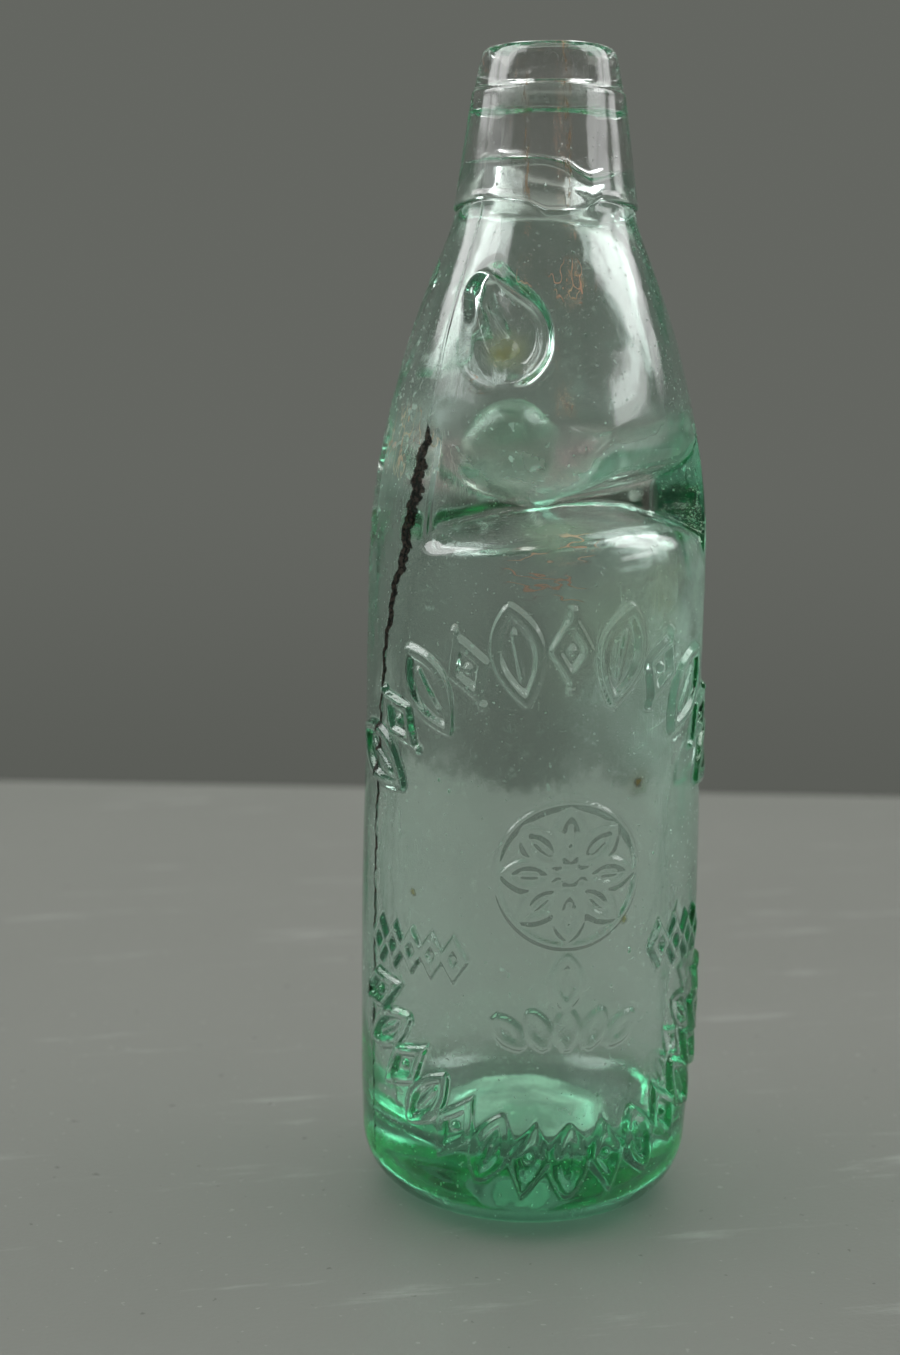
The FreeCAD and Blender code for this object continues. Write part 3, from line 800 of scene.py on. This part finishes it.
# ---------------------------------------------------------------- node helpers
class Tree:
    """The node tree of a material or world, with short calls for the nodes used here."""

    def __init__(self, owner):
        owner.use_nodes = True
        self.tree = owner.node_tree
        self.tree.nodes.clear()

    def feed(self, socket, value):
        """Links or sets a socket; plain colours are (r, g, b)."""
        if isinstance(value, bpy.types.NodeSocket):
            self.tree.links.new(value, socket)
        elif socket.type == "RGBA":
            socket.default_value = (*value, 1)
        else:
            socket.default_value = value

    def node(self, kind, inputs=None, **settings):
        node = self.tree.nodes.new("ShaderNode" + kind)
        for name, value in settings.items():
            setattr(node, name, value)
        for key, value in (inputs or {}).items():
            self.feed(node.inputs[key], value)
        return node

    def shader(self, kind, **inputs):
        return self.node(kind, inputs).outputs[0]

    def coordinates(self, kind="Object"):
        return self.node("TexCoord").outputs[kind]

    def split(self, vector):
        return self.node("SeparateXYZ", {0: vector}).outputs

    def attribute(self, name):
        return self.node("Attribute", attribute_name=name).outputs["Fac"]

    def math(self, operation, *values, clamp=False):
        inputs = dict(enumerate(values))
        return self.node("Math", inputs, operation=operation, use_clamp=clamp).outputs[0]

    def add(self, total, *terms):
        for term in terms:
            total = self.math("ADD", total, term)
        return total

    def times(self, product, *factors):
        for factor in factors:
            product = self.math("MULTIPLY", product, factor)
        return product

    def off(self, value, centre):
        """Distance of a value from a centre."""
        return self.math("ABSOLUTE", self.math("SUBTRACT", value, centre))

    def rise(self, value, start, end):
        """Smooth step from 0 at start to 1 at end."""
        node = self.node("MapRange", {"Value": value, "From Min": start, "From Max": end},
                         interpolation_type="SMOOTHSTEP")
        return node.outputs["Result"]

    def fall(self, value, start, end):
        """Smooth step from 1 at start to 0 at end."""
        return self.math("SUBTRACT", 1.0, self.rise(value, start, end))

    def window(self, value, start, full, fading, end):
        return self.times(self.rise(value, start, full), self.fall(value, fading, end))

    def line(self, value, centre, core, edge):
        """1 within core of the centre, 0 past edge."""
        return self.fall(self.off(value, centre), core, edge)

    def stretch(self, vector, scale, turn=(0, 0, 0)):
        inputs = {"Vector": vector, "Rotation": turn, "Scale": scale}
        return self.node("Mapping", inputs).outputs[0]

    def noise(self, vector, scale, detail=4.0, rough=0.55):
        inputs = {"Vector": vector, "Scale": scale, "Detail": detail, "Roughness": rough}
        return self.node("TexNoise", inputs).outputs["Fac"]

    def vector_math(self, operation, *vectors):
        node = self.node("VectorMath", dict(enumerate(vectors)), operation=operation)
        return node.outputs["Value"]

    def colour_ramp(self, value, low, high, stops=(0.0, 1.0)):
        node = self.node("ValToRGB", {0: value})
        for element, stop, colour in zip(node.color_ramp.elements, stops, (low, high)):
            element.position = stop
            element.color = (*colour, 1)
        return node.outputs[0]

    def mix_colour(self, share, first, second):
        return self.node("MixRGB", {0: share, 1: first, 2: second}).outputs[0]

    def mix(self, share, first, second):
        return self.node("MixShader", {0: share, 1: first, 2: second}).outputs[0]

    def bump(self, height, strength, distance):
        return self.shader("Bump", Strength=strength, Distance=distance, Height=height)

    def output(self, **inputs):
        self.node("OutputMaterial", inputs)


def new_material(name):
    material = bpy.data.materials.new(name)
    return material, Tree(material)


# ---------------------------------------------------------------- glass
# Copper-coloured streaks painted as reflections: place in mm, size in mm, strength, whether the
# strokes lie level
PAINTED_COPPER_STREAKS = [
    ((-0.7, -21.0, 178.7), 5.5, 0.9, False), ((-9.5, -18.7, 178.5), 3.4, 0.7, False),
    ((-16.1, -20.4, 160.7), 3.6, 0.6, True), ((-1.1, -31.5, 133.8), 5.5, 0.8, True),
    ((-26.8, -6.1, 149.6), 9.0, 0.5, False), ((-10.0, -31.5, 127.8), 6.0, 0.7, True),
    ((-2.8, -32.9, 124.3), 4.0, 0.7, True), ((-2.7, -25.9, 157.1), 4.0, 0.35, False),
]
# Rust and yellow-brown stains: place in mm, size in mm, strength, colour
STAINS = [
    ((-3.4, -24.0, 134.5), 9.0, 0.34, (0.66, 0.72, 0.58)),
    ((6.8, -32.2, 118.0), 13.0, 0.22, (0.66, 0.66, 0.54)),
    ((-4.1, -32.7, 108.3), 8.0, 0.07, (0.62, 0.60, 0.48)),
    ((12.0, -30.9, 88.5), 1.3, 0.75, (0.20, 0.11, 0.02)),
    ((12.0, -30.9, 88.5), 3.6, 0.10, (0.55, 0.42, 0.16)),
    ((-27.5, -18.6, 66.0), 1.1, 0.6, (0.34, 0.26, 0.07)),
    ((9.5, -31.8, 63.0), 1.3, 0.6, (0.42, 0.36, 0.12)),
    ((-11.5, -17.5, 166.5), 5.6, 0.44, (0.60, 0.56, 0.34)),
    ((-12.4, -17.0, 165.0), 2.8, 0.45, (0.46, 0.37, 0.14)),
    ((16.8, -27.9, 124.5), 8.0, 0.24, (0.56, 0.50, 0.34)),
    ((18.0, -27.4, 119.5), 5.0, 0.16, (0.50, 0.42, 0.24)),
]
# Painted reflections, long copper-coloured lines down the lip: x, half width, in metres
LIP_PAINTED_REFLECTIONS = [(-0.0078, 0.0009), (-0.0005, 0.0011)]


def glass_scratches(t, position):
    """Thin crossings of a stretched noise, in patches."""
    streaks = t.noise(t.stretch(position, (1, 1, 0.06), turn=(0.5, 0.3, 0.4)), 700, detail=1)
    patches = t.rise(t.noise(position, 55, detail=3), 0.52, 0.66)
    return t.times(t.line(streaks, centre=0.5, core=0.0, edge=0.006), patches)


def glass_normal(t, position, scratches):
    """Fine unevenness of the fire-polished skin."""
    waves = t.noise(t.stretch(position, (1, 1, 0.45)), 95, detail=3)
    grain = t.noise(position, 1400, detail=2)
    height = t.add(t.times(waves, 1.0), t.times(grain, 0.012))
    height = t.math("SUBTRACT", height, t.times(scratches, 0.02))
    return t.bump(height, strength=0.35, distance=0.0006)


def glass_colour(t, position, joined, stains_and_painted_light):
    """Clear glass, tinted place by place."""
    x, _, z = t.split(position)
    inside = t.attribute("inside")
    upper = painted_edge_shade = deep = crest = web = seat = 0.0
    if joined:
        upper = t.rise(z, 0.162, 0.186)
        # painted shade on the thick lower edges: darker where the surface turns away from the
        # view
        facing = t.node("LayerWeight", {"Blend": 0.5}).outputs["Facing"]
        painted_edge_shade = t.times(t.rise(facing, 0.53, 0.88), t.fall(z, 0.060, 0.112))
    if stains_and_painted_light:
        # the solid +v end of the pinch is the deepest glass of the shoulder
        distance = t.vector_math("DISTANCE", position, (0.0268, -0.0072, 0.1385))
        deep = t.fall(distance, 0.0055, 0.0105)
        distance = t.vector_math("DISTANCE", position, (-0.0166, -0.0140, 0.1352))
        crest = t.times(t.fall(distance, 0.003, 0.009), 0.8)
        # the two walls meet in the pinch and make one thick web; its darker tint is painted shade
        # that tones down bright glints there
        u = t.vector_math("DOT_PRODUCT", position, (PINCH_X, PINCH_Y, 0))
        web = t.times(
            t.fall(t.math("ABSOLUTE", u), 0.0078, 0.0105),
            t.rise(x, -0.022, -0.004),
            t.window(z, 0.128, 0.132, 0.139, 0.143))
        # inner wall round the marble
        seat = t.times(t.window(z, 0.139, 0.142, 0.148, 0.154), inside)
    foot = t.fall(z, 0.009, 0.024)
    colour = (1.0, 1.0, 1.0)
    for mask, tint in (
        (foot, (0.42, 0.43, 0.42)),
        (upper, (0.925, 0.918, 0.915)),
        (painted_edge_shade, (0.34, 0.50, 0.43)),
        (deep, (0.20, 0.38, 0.30)),
        (crest, (0.42, 0.50, 0.44)),
        (web, (0.60, 0.51, 0.51)),
        (seat, (0.95, 0.62, 0.68)),
    ):
        colour = t.mix_colour(mask, colour, tint)
    return colour, inside


def glass_roughness(t, position, inside, scratches, frost, scuffed_foot):
    """Patchy skin, scratches, the etched inside and the ground foot."""
    _, _, z = t.split(position)
    patches = t.rise(t.noise(position, 120, detail=5), 0.45, 0.75)
    etching = t.rise(t.noise(position, 40, detail=4), 0.4, 0.7)
    dull_marble_seat = t.times(t.window(z, 0.137, 0.141, 0.148, 0.162), 0.15)
    dull_neck = t.times(t.window(z, 0.182, 0.190, 0.203, 0.207), 0.03)
    return t.add(
        t.times(patches, 0.05),
        t.times(scratches, 0.25),
        0.004 + frost,
        t.times(inside, t.add(0.055, t.times(etching, 0.05))),
        t.times(inside, t.add(dull_marble_seat, dull_neck)),
        t.times(t.fall(z, 0.0045, 0.0075), scuffed_foot))


def glass_haze(t, position, scratches, haze, veil):
    """Share of chalk: mineral stain on the inside, dust specks and scratches."""
    x, y, z = t.split(position)
    inside = t.attribute("inside")
    right_band = t.times(t.rise(x, 0.004, 0.030), t.window(z, 0.062, 0.098, 0.125, 0.135))
    low = t.fall(z, 0.010, 0.075)
    cloud = t.rise(t.noise(position, 48, detail=6, rough=0.62), 0.40, 0.72)
    from_axis = t.vector_math("LENGTH", t.node("CombineXYZ", {0: x, 1: y}).outputs[0])
    floor = t.times(t.fall(from_axis, 0.0172, 0.0180), t.fall(z, 0.017, 0.020))
    chamber = t.window(z, 0.138, 0.1425, 0.146, 0.160)
    stain = t.add(
        t.times(right_band, 0.55),
        t.times(low, 0.06),
        0.028,
        t.times(floor, 0.85),
        t.times(chamber, 0.16))
    stain = t.times(stain, t.add(t.times(cloud, 0.9), 0.25), inside)
    # dust gathers on the -X side of the shoulder
    dusty = t.times(t.fall(x, -0.027, -0.019), t.rise(z, 0.135, 0.150))
    specks = t.noise(position, 520, detail=2, rough=0.4)
    specks = t.rise(t.add(specks, t.times(dusty, 0.10)), 0.725, 0.76)
    grit = t.noise(position, 1500, detail=1, rough=0.3)
    gritty = t.rise(t.noise(position, 70, detail=3), 0.45, 0.7)
    grit = t.rise(t.add(grit, t.times(gritty, 0.05)), 0.762, 0.78)
    total = t.add(
        stain,
        t.times(floor, inside, 0.14),
        t.times(specks, 0.45),
        t.times(grit, 0.6),
        t.times(scratches, 0.25))
    return t.math("ADD", t.times(total, haze), veil, clamp=True)


def chalk(t, position):
    """Milky deposit, greener on the floor."""
    _, _, z = t.split(position)
    milk = t.mix_colour(t.fall(z, 0.016, 0.019), (0.80, 0.84, 0.80), (0.66, 0.86, 0.72))
    veil = t.shader("BsdfDiffuse", Color=milk, Roughness=0.6)
    return t.mix(0.45, veil, t.shader("BsdfTranslucent", Color=milk))


def add_painted_reflection_lines(t, position, surface, reflection_lines):
    """Painted reflections: long copper-coloured lines on the -Y side."""
    x, y, _ = t.split(position)
    for place, width in reflection_lines:
        broken = t.noise(t.stretch(position, (1, 1, 0.16)), 1500, detail=3, rough=0.6)
        mask = t.times(
            t.line(x, centre=place, core=0.3 * width, edge=width),
            t.rise(t.times(y, -1.0), 0.010, 0.012),
            t.rise(broken, 0.42, 0.66),
            0.55)
        surface = t.mix(mask, surface, t.shader("BsdfDiffuse", Color=(0.66, 0.43, 0.26)))
    return surface


def add_crust(t, position, surface):
    """Dark crust with ragged edges along the seam."""
    ragged = t.math("SUBTRACT", t.noise(position, 900, detail=4, rough=0.7), 0.5)
    crust = t.rise(t.add(t.attribute("residue"), t.times(ragged, 1.5)), 0.45, 0.62)
    mask = t.times(crust, t.rise(t.attribute("residue"), 0.02, 0.12), 0.93)
    mottle = t.rise(t.noise(position, 1300, detail=3), 0.45, 0.6)
    tone = t.mix_colour(mottle, (0.012, 0.009, 0.009), (0.085, 0.060, 0.050))
    return t.mix(mask, surface, t.shader("BsdfDiffuse", Color=tone, Roughness=0.7))


def add_painted_copper_streaks(t, position, surface):
    # painted reflections: copper-coloured streaks in a diffuse colour
    steep = t.stretch(position, (1, 1, 0.28), turn=(0.0, 0.45, 0.0))
    level = t.stretch(position, (0.30, 0.30, 1))
    steep = t.noise(steep, 330, detail=2, rough=0.5)
    level = t.noise(level, 330, detail=2, rough=0.5)
    steep = t.line(steep, centre=0.5, core=0.006, edge=0.018)
    level = t.line(level, centre=0.5, core=0.006, edge=0.017)
    for place, size, strength, is_level in PAINTED_COPPER_STREAKS:
        distance = t.vector_math("DISTANCE", position, [value * MM for value in place])
        near = t.fall(distance, 0.55 * size * MM, size * MM)
        mask = t.times(near, level if is_level else steep, strength)
        surface = t.mix(mask, surface, t.shader("BsdfDiffuse", Color=(0.84, 0.52, 0.37)))
    return surface


def add_stains(t, position, surface):
    for place, size, strength, colour in STAINS:
        radius = size * MM
        distance = t.vector_math("DISTANCE", position, [value * MM for value in place])
        ragged = t.math("SUBTRACT", t.noise(position, 1.1 / radius, detail=4, rough=0.6), 0.5)
        distance = t.add(distance, t.times(ragged, radius * 1.3))
        mask = t.times(t.fall(distance, 0.25 * radius, radius), strength)
        mark = t.shader("BsdfDiffuse", Color=colour, Roughness=0.5)
        through = t.shader("BsdfTranslucent", Color=colour)
        surface = t.mix(mask, surface, t.mix(0.5, mark, through))
    return surface


def glass(name, absorbed, density, haze=1.0, frost=0.0, veil=0.0,
          joined=True, stains_and_painted_light=False, reflection_lines=()):
    """Glass. frost adds roughness, veil adds chalk all over, joined hides the joint faces."""
    material, t = new_material(name)
    position = SharedPosition(t)
    scratches = glass_scratches(t, position.socket)
    colour, inside = glass_colour(position, position.socket, joined, stains_and_painted_light)
    roughness = glass_roughness(position, position.socket, inside, scratches, frost,
                                scuffed_foot=0.14 if joined else 0.0)
    clear_glass = t.node("BsdfPrincipled", {
        "Base Color": colour,
        "Transmission Weight": 1.0,
        "IOR": 1.52,
        "Roughness": roughness,
        "Normal": glass_normal(t, position.socket, scratches),
    }).outputs[0]
    # light reaches the inside and the table through the clear walls
    passing = t.shader("BsdfTransparent", Color=(0.80, 0.86, 0.83))
    shadow_ray = t.node("LightPath").outputs["Is Shadow Ray"]
    surface = t.mix(shadow_ray, clear_glass, passing)
    deposit = glass_haze(position, position.socket, scratches, haze, veil)
    surface = t.mix(deposit, surface, chalk(position, position.socket))
    # painted reflections: copper-coloured lines down the lip
    surface = add_painted_reflection_lines(position, position.socket, surface, reflection_lines)
    # the crust and stains are real dirt; the copper streaks are painted reflections
    if stains_and_painted_light:
        surface = add_crust(t, position.socket, surface)
        surface = add_painted_copper_streaks(t, position.socket, surface)
        surface = add_stains(t, position.socket, surface)
    if joined:
        surface = t.mix(t.attribute("joined"), surface, t.shader("BsdfTransparent"))
    absorption = t.shader("VolumeAbsorption", Color=absorbed, Density=density)
    t.output(Surface=surface, Volume=absorption)
    return material


class SharedPosition(Tree):
    """The same tree, with one position node and one split of it shared by every part."""

    def __init__(self, base):
        self.tree = base.tree
        self.socket = self.coordinates()
        self.parts = super().split(self.socket)

    def split(self, vector):
        return self.parts


def ring_rubber():
    material, t = new_material("aged_ring_rubber")
    position = t.coordinates()
    blotches = t.noise(position, 260, detail=5)
    colour = t.colour_ramp(blotches, (0.60, 0.64, 0.61), (0.80, 0.84, 0.81), stops=(0.35, 0.7))
    t.output(Surface=t.node("BsdfPrincipled", {
        "Base Color": colour,
        "Roughness": 0.30,
        "Transmission Weight": 0.86,
        "IOR": 1.12,
        "Normal": t.bump(t.noise(position, 1800, detail=3), strength=0.5, distance=0.0002),
    }).outputs[0])
    return material


body_glass = glass("bottle_glass", absorbed=(0.05, 0.83, 0.52), density=24.0, stains_and_painted_light=True)
lip_glass = glass("collar_glass", absorbed=(0.36, 0.88, 0.66), density=3.8, haze=0.5,
                  reflection_lines=LIP_PAINTED_REFLECTIONS)
marble_glass = glass("marble_green_glass", absorbed=(0.34, 0.72, 0.50), density=50.0,
                     frost=0.13, veil=0.035, joined=False)
body.data.materials.append(body_glass)
lip.data.materials.append(lip_glass)
marble.data.materials.append(marble_glass)
ring.data.materials.append(ring_rubber())

# ---------------------------------------------------------------- stage, metres
VIEW_ANGLE = math.radians(13.0)
FORWARD = Vector((math.sin(VIEW_ANGLE), math.cos(VIEW_ANGLE), 0))  # away from the camera
RIGHT = Vector((math.cos(VIEW_ANGLE), -math.sin(VIEW_ANGLE), 0))


def build_table():
    near, far, left, right, bottom, top = -0.36, 0.347, -0.5, 0.5, -0.02, 0.0
    corners = ((near, left), (near, right), (far, right), (far, left))
    points = [tuple(FORWARD * depth + RIGHT * side + Vector((0, 0, z)))
              for z in (bottom, top) for depth, side in corners]
    mesh = bpy.data.meshes.new("table")
    mesh.from_pydata(points, [], [(3, 2, 1, 0), (4, 5, 6, 7), (0, 1, 5, 4), (1, 2, 6, 5),
                                  (2, 3, 7, 6), (3, 0, 4, 7)])
    ob = link("table", mesh)
    return ob


def table_top():
    """Grey top with brushed pale marks, pale grains and dark pits."""
    material, t = new_material("table_top")
    position = t.coordinates()
    colour = t.colour_ramp(t.noise(position, 9, detail=5),
                           (0.212, 0.219, 0.200), (0.246, 0.253, 0.232))
    brushed = t.stretch(position, (0.45, 2.4, 1), turn=(0, 0, 0.25))
    marks = t.rise(t.noise(brushed, 34, detail=6, rough=0.66), 0.57, 0.72)
    grains = t.rise(t.noise(position, 520, detail=2, rough=0.4), 0.70, 0.76)
    pits = t.fall(t.noise(position, 380, detail=2, rough=0.4), 0.23, 0.27)
    for mask, share, tint in (
        (marks, 0.45, (0.46, 0.465, 0.45)),
        (grains, 0.5, (0.42, 0.42, 0.40)),
        (pits, 0.6, (0.08, 0.08, 0.075)),
    ):
        colour = t.mix_colour(t.times(mask, share), colour, tint)
    t.output(Surface=t.node("BsdfPrincipled", {
        "Base Color": colour,
        "Roughness": 0.42,
        "Normal": t.bump(t.noise(position, 900), strength=0.15, distance=0.0004),
    }).outputs[0])
    return material


def build_world():
    """Dim studio, brighter high up behind the bottle and straight overhead."""
    world = bpy.data.worlds.new("studio")
    bpy.context.scene.world = world
    t = Tree(world)
    direction = t.coordinates("Generated")
    _, _, up = t.split(direction)
    colour = t.colour_ramp(t.rise(up, -0.26, -0.06),
                           (0.101, 0.106, 0.094), (0.128, 0.134, 0.120))
    behind = t.rise(t.vector_math("DOT_PRODUCT", direction, tuple(FORWARD)), 0.78, 0.90)
    backdrop = t.times(behind, t.rise(up, 0.17, 0.36))
    colour = t.mix_colour(backdrop, colour, (0.44, 0.46, 0.42))
    colour = t.mix_colour(t.rise(up, 0.84, 0.93), colour, (0.40, 0.415, 0.38))
    background = t.shader("Background", Color=colour, Strength=1.0)
    t.node("OutputWorld", {"Surface": background})


table = build_table()
table.data.materials.append(table_top())
build_world()


# ---------------------------------------------------------------- glowing panels
def place(azimuth, elevation, distance, centre=(0, 0, 0.16)):
    """A point seen from the bottle: degrees right of the viewer's side, degrees up."""
    turn, lift = math.radians(azimuth), math.radians(elevation)
    level = (-FORWARD * math.cos(turn) + RIGHT * math.sin(turn)) * distance * math.cos(lift)
    return level + Vector((0, 0, distance * math.sin(lift))) + Vector(centre)


def glow_material(name, strength, colour, streaks):
    material, t = new_material(name)
    glow = t.attribute("glow")
    if streaks:
        squashed = t.stretch(t.coordinates(), (1, 1, 3.2))
        streak = t.noise(squashed, 22, detail=4, rough=0.6)
        glow = t.times(glow, t.rise(t.off(streak, 0.5), 0.020, 0.009))
    light = t.shader("Emission", Color=colour, Strength=t.times(glow, strength))
    clear = t.shader("BsdfTransparent", Color=(0.62, 0.62, 0.62))
    t.output(Surface=t.node("AddShader", {0: light, 1: clear}).outputs[0])
    return material


def glow_patch(name, azimuths, elevations, shape, strength, cells,
               distance=0.85, colour=(1, 1, 1), streaks=False):
    """A soft panel on a dome round the bottle, seen only in reflections and through glass."""
    (azimuth0, azimuth1), (elevation0, elevation1) = azimuths, elevations
    points, glow, faces = [], [], []
    for i in range(cells + 1):
        for j in range(cells + 1):
            azimuth = azimuth0 + (azimuth1 - azimuth0) * i / cells
            elevation = elevation0 + (elevation1 - elevation0) * j / cells
            points.append(tuple(place(azimuth, elevation, distance)))
            glow.append(shape(azimuth, elevation))
            if i < cells and j < cells:
                k = i * (cells + 1) + j
                faces.append((k, k + 1, k + cells + 2, k + cells + 1))
    mesh = bpy.data.meshes.new(name)
    mesh.from_pydata(points, [], faces)
    ob = link(name, mesh)
    flag(ob, "glow", glow, "POINT")
    mesh.materials.append(glow_material(name + "_light", strength, colour, streaks))
    ob.visible_camera = False
    ob.visible_diffuse = False
    ob.visible_shadow = False


def band(x, start, end, soft):
    return float(ease(start - soft, start + soft, x) * (1 - ease(end - soft, end + soft, x)))


# Near edge of the side panels, in degrees of azimuth, at each elevation
PANEL_ELEVATIONS = (15, 19, 26, 34, 38.5, 45, 60)
PANEL_EDGE_RIGHT = (103, 98, 82, 73, 57, 61, 66)
PANEL_EDGE_LEFT = (100, 92, 78, 60, 47, 50, 56)
# Soft streaked spots: azimuth, elevation, half width, half height, strength
WARM_SPOTS = [(30, 40, 12, 3.4, 1), (-24, 41, 7, 2.6, 1), (17, 23.5, 8, 3.4, 1),
              (-60, 27, 3, 5, 0.8), (12, 31, 2.2, 4, 0.7)]
WARM = (1.0, 0.42, 0.22)


def side_panel(azimuth, elevation):
    """A tall panel with a slanted near edge, and a low ledge in front of it."""
    edge = PANEL_EDGE_RIGHT if azimuth > 0 else PANEL_EDGE_LEFT
    near = float(np.interp(elevation, PANEL_ELEVATIONS, edge))
    bottom = 15 if azimuth > 97 else 18
    ledge = 0.72 if azimuth > 0 else 0.30
    azimuth = abs(azimuth)
    main = band(azimuth, near, 114, soft=4) * band(elevation, bottom, 62, soft=2.5)
    main *= 1 - 0.45 * band(azimuth, 93, 97, soft=3)
    main *= 0.62 + 0.38 * float(ease(21, 27, elevation))
    low = band(azimuth, 55, 91, soft=2.5) * band(elevation, 17.5, 24, soft=1.5)
    return main + ledge * low * (1 - main)


def warm_spots(azimuth, elevation):
    glow = []
    for centre, height, half_width, half_height, strength in WARM_SPOTS:
        away = math.hypot((azimuth - centre) / half_width, (elevation - height) / half_height)
        glow.append(strength * float(1 - ease(0.7, 1.15, away)))
    return max(glow)


def warm_bar(azimuth, elevation):
    return band(azimuth, 60, 150, soft=8) * band(elevation, 76.2, 78.4, soft=0.7)


glow_patch("panel_left", (-130, -34), (-2, 70), side_panel, strength=7.3, cells=56)
glow_patch("panel_right", (34, 130), (-2, 70), side_panel, strength=6.7, cells=56)
glow_patch("warm_marks", (-66, 46), (18, 46), warm_spots, strength=3.0, cells=80,
           distance=0.80, colour=WARM, streaks=True)
glow_patch("warm_top", (40, 160), (72, 84), warm_bar, strength=6.0, cells=40,
           distance=0.80, colour=WARM, streaks=True)


# ---------------------------------------------------------------- lamps
def lamp(name, azimuth, elevation, distance, size, power):
    """A square soft lamp aimed at the foot of the bottle."""
    light = bpy.data.lights.new(name, "AREA")
    light.shape = "RECTANGLE"
    light.size = light.size_y = size
    light.energy = power
    ob = bpy.data.objects.new(name, light)
    ob.location = place(azimuth, elevation, distance, centre=(0, 0, 0))
    ob.rotation_euler = (-ob.location).to_track_quat("-Z", "Y").to_euler()
    ob.visible_camera = False
    ob.visible_glossy = False
    ob.visible_transmission = False
    bpy.context.scene.collection.objects.link(ob)


lamp("soft_top", azimuth=175, elevation=76, distance=1.25, size=1.5, power=9.8)
lamp("soft_left", azimuth=-95, elevation=48, distance=1.1, size=0.7, power=2.6)
lamp("soft_right", azimuth=95, elevation=48, distance=1.1, size=0.7, power=2.0)


# ---------------------------------------------------------------- camera
def build_camera():
    data = bpy.data.cameras.new("camera")
    camera = link("camera", data)
    bpy.context.scene.camera = camera
    data.sensor_width = 36.0
    data.sensor_fit = "AUTO"
    data.lens = 53.4819188
    data.clip_start = 0.01
    data.dof.use_dof = True
    focus = bpy.data.objects.new("focus_point", None)
    focus.location = -FORWARD * 0.0309 + Vector((0, 0, 0.1081))
    bpy.context.scene.collection.objects.link(focus)
    data.dof.focus_object = focus
    data.dof.aperture_fstop = 14.0
    location = -FORWARD * 0.3895 - RIGHT * 0.0165 + Vector((0, 0, 0.1704))
    pitch = math.radians(9.86)  # downwards
    look = FORWARD * math.cos(pitch) - Vector((0, 0, math.sin(pitch)))
    aim = look.to_track_quat("-Z", "Y").to_matrix().to_4x4()
    roll = Matrix.Rotation(math.radians(-1.02), 4, look)
    camera.matrix_world = Matrix.Translation(location) @ roll @ aim


build_camera()

scene = bpy.context.scene
scene.view_settings.view_transform = "Standard"
scene.cycles.max_bounces = 32
scene.cycles.transmission_bounces = 32
scene.cycles.glossy_bounces = 12
scene.cycles.diffuse_bounces = 4
scene.cycles.transparent_max_bounces = 32
scene.cycles.caustics_reflective = True
scene.cycles.caustics_refractive = True
scene.cycles.sample_clamp_indirect = 6.0
scene.cycles.blur_glossy = 0.5
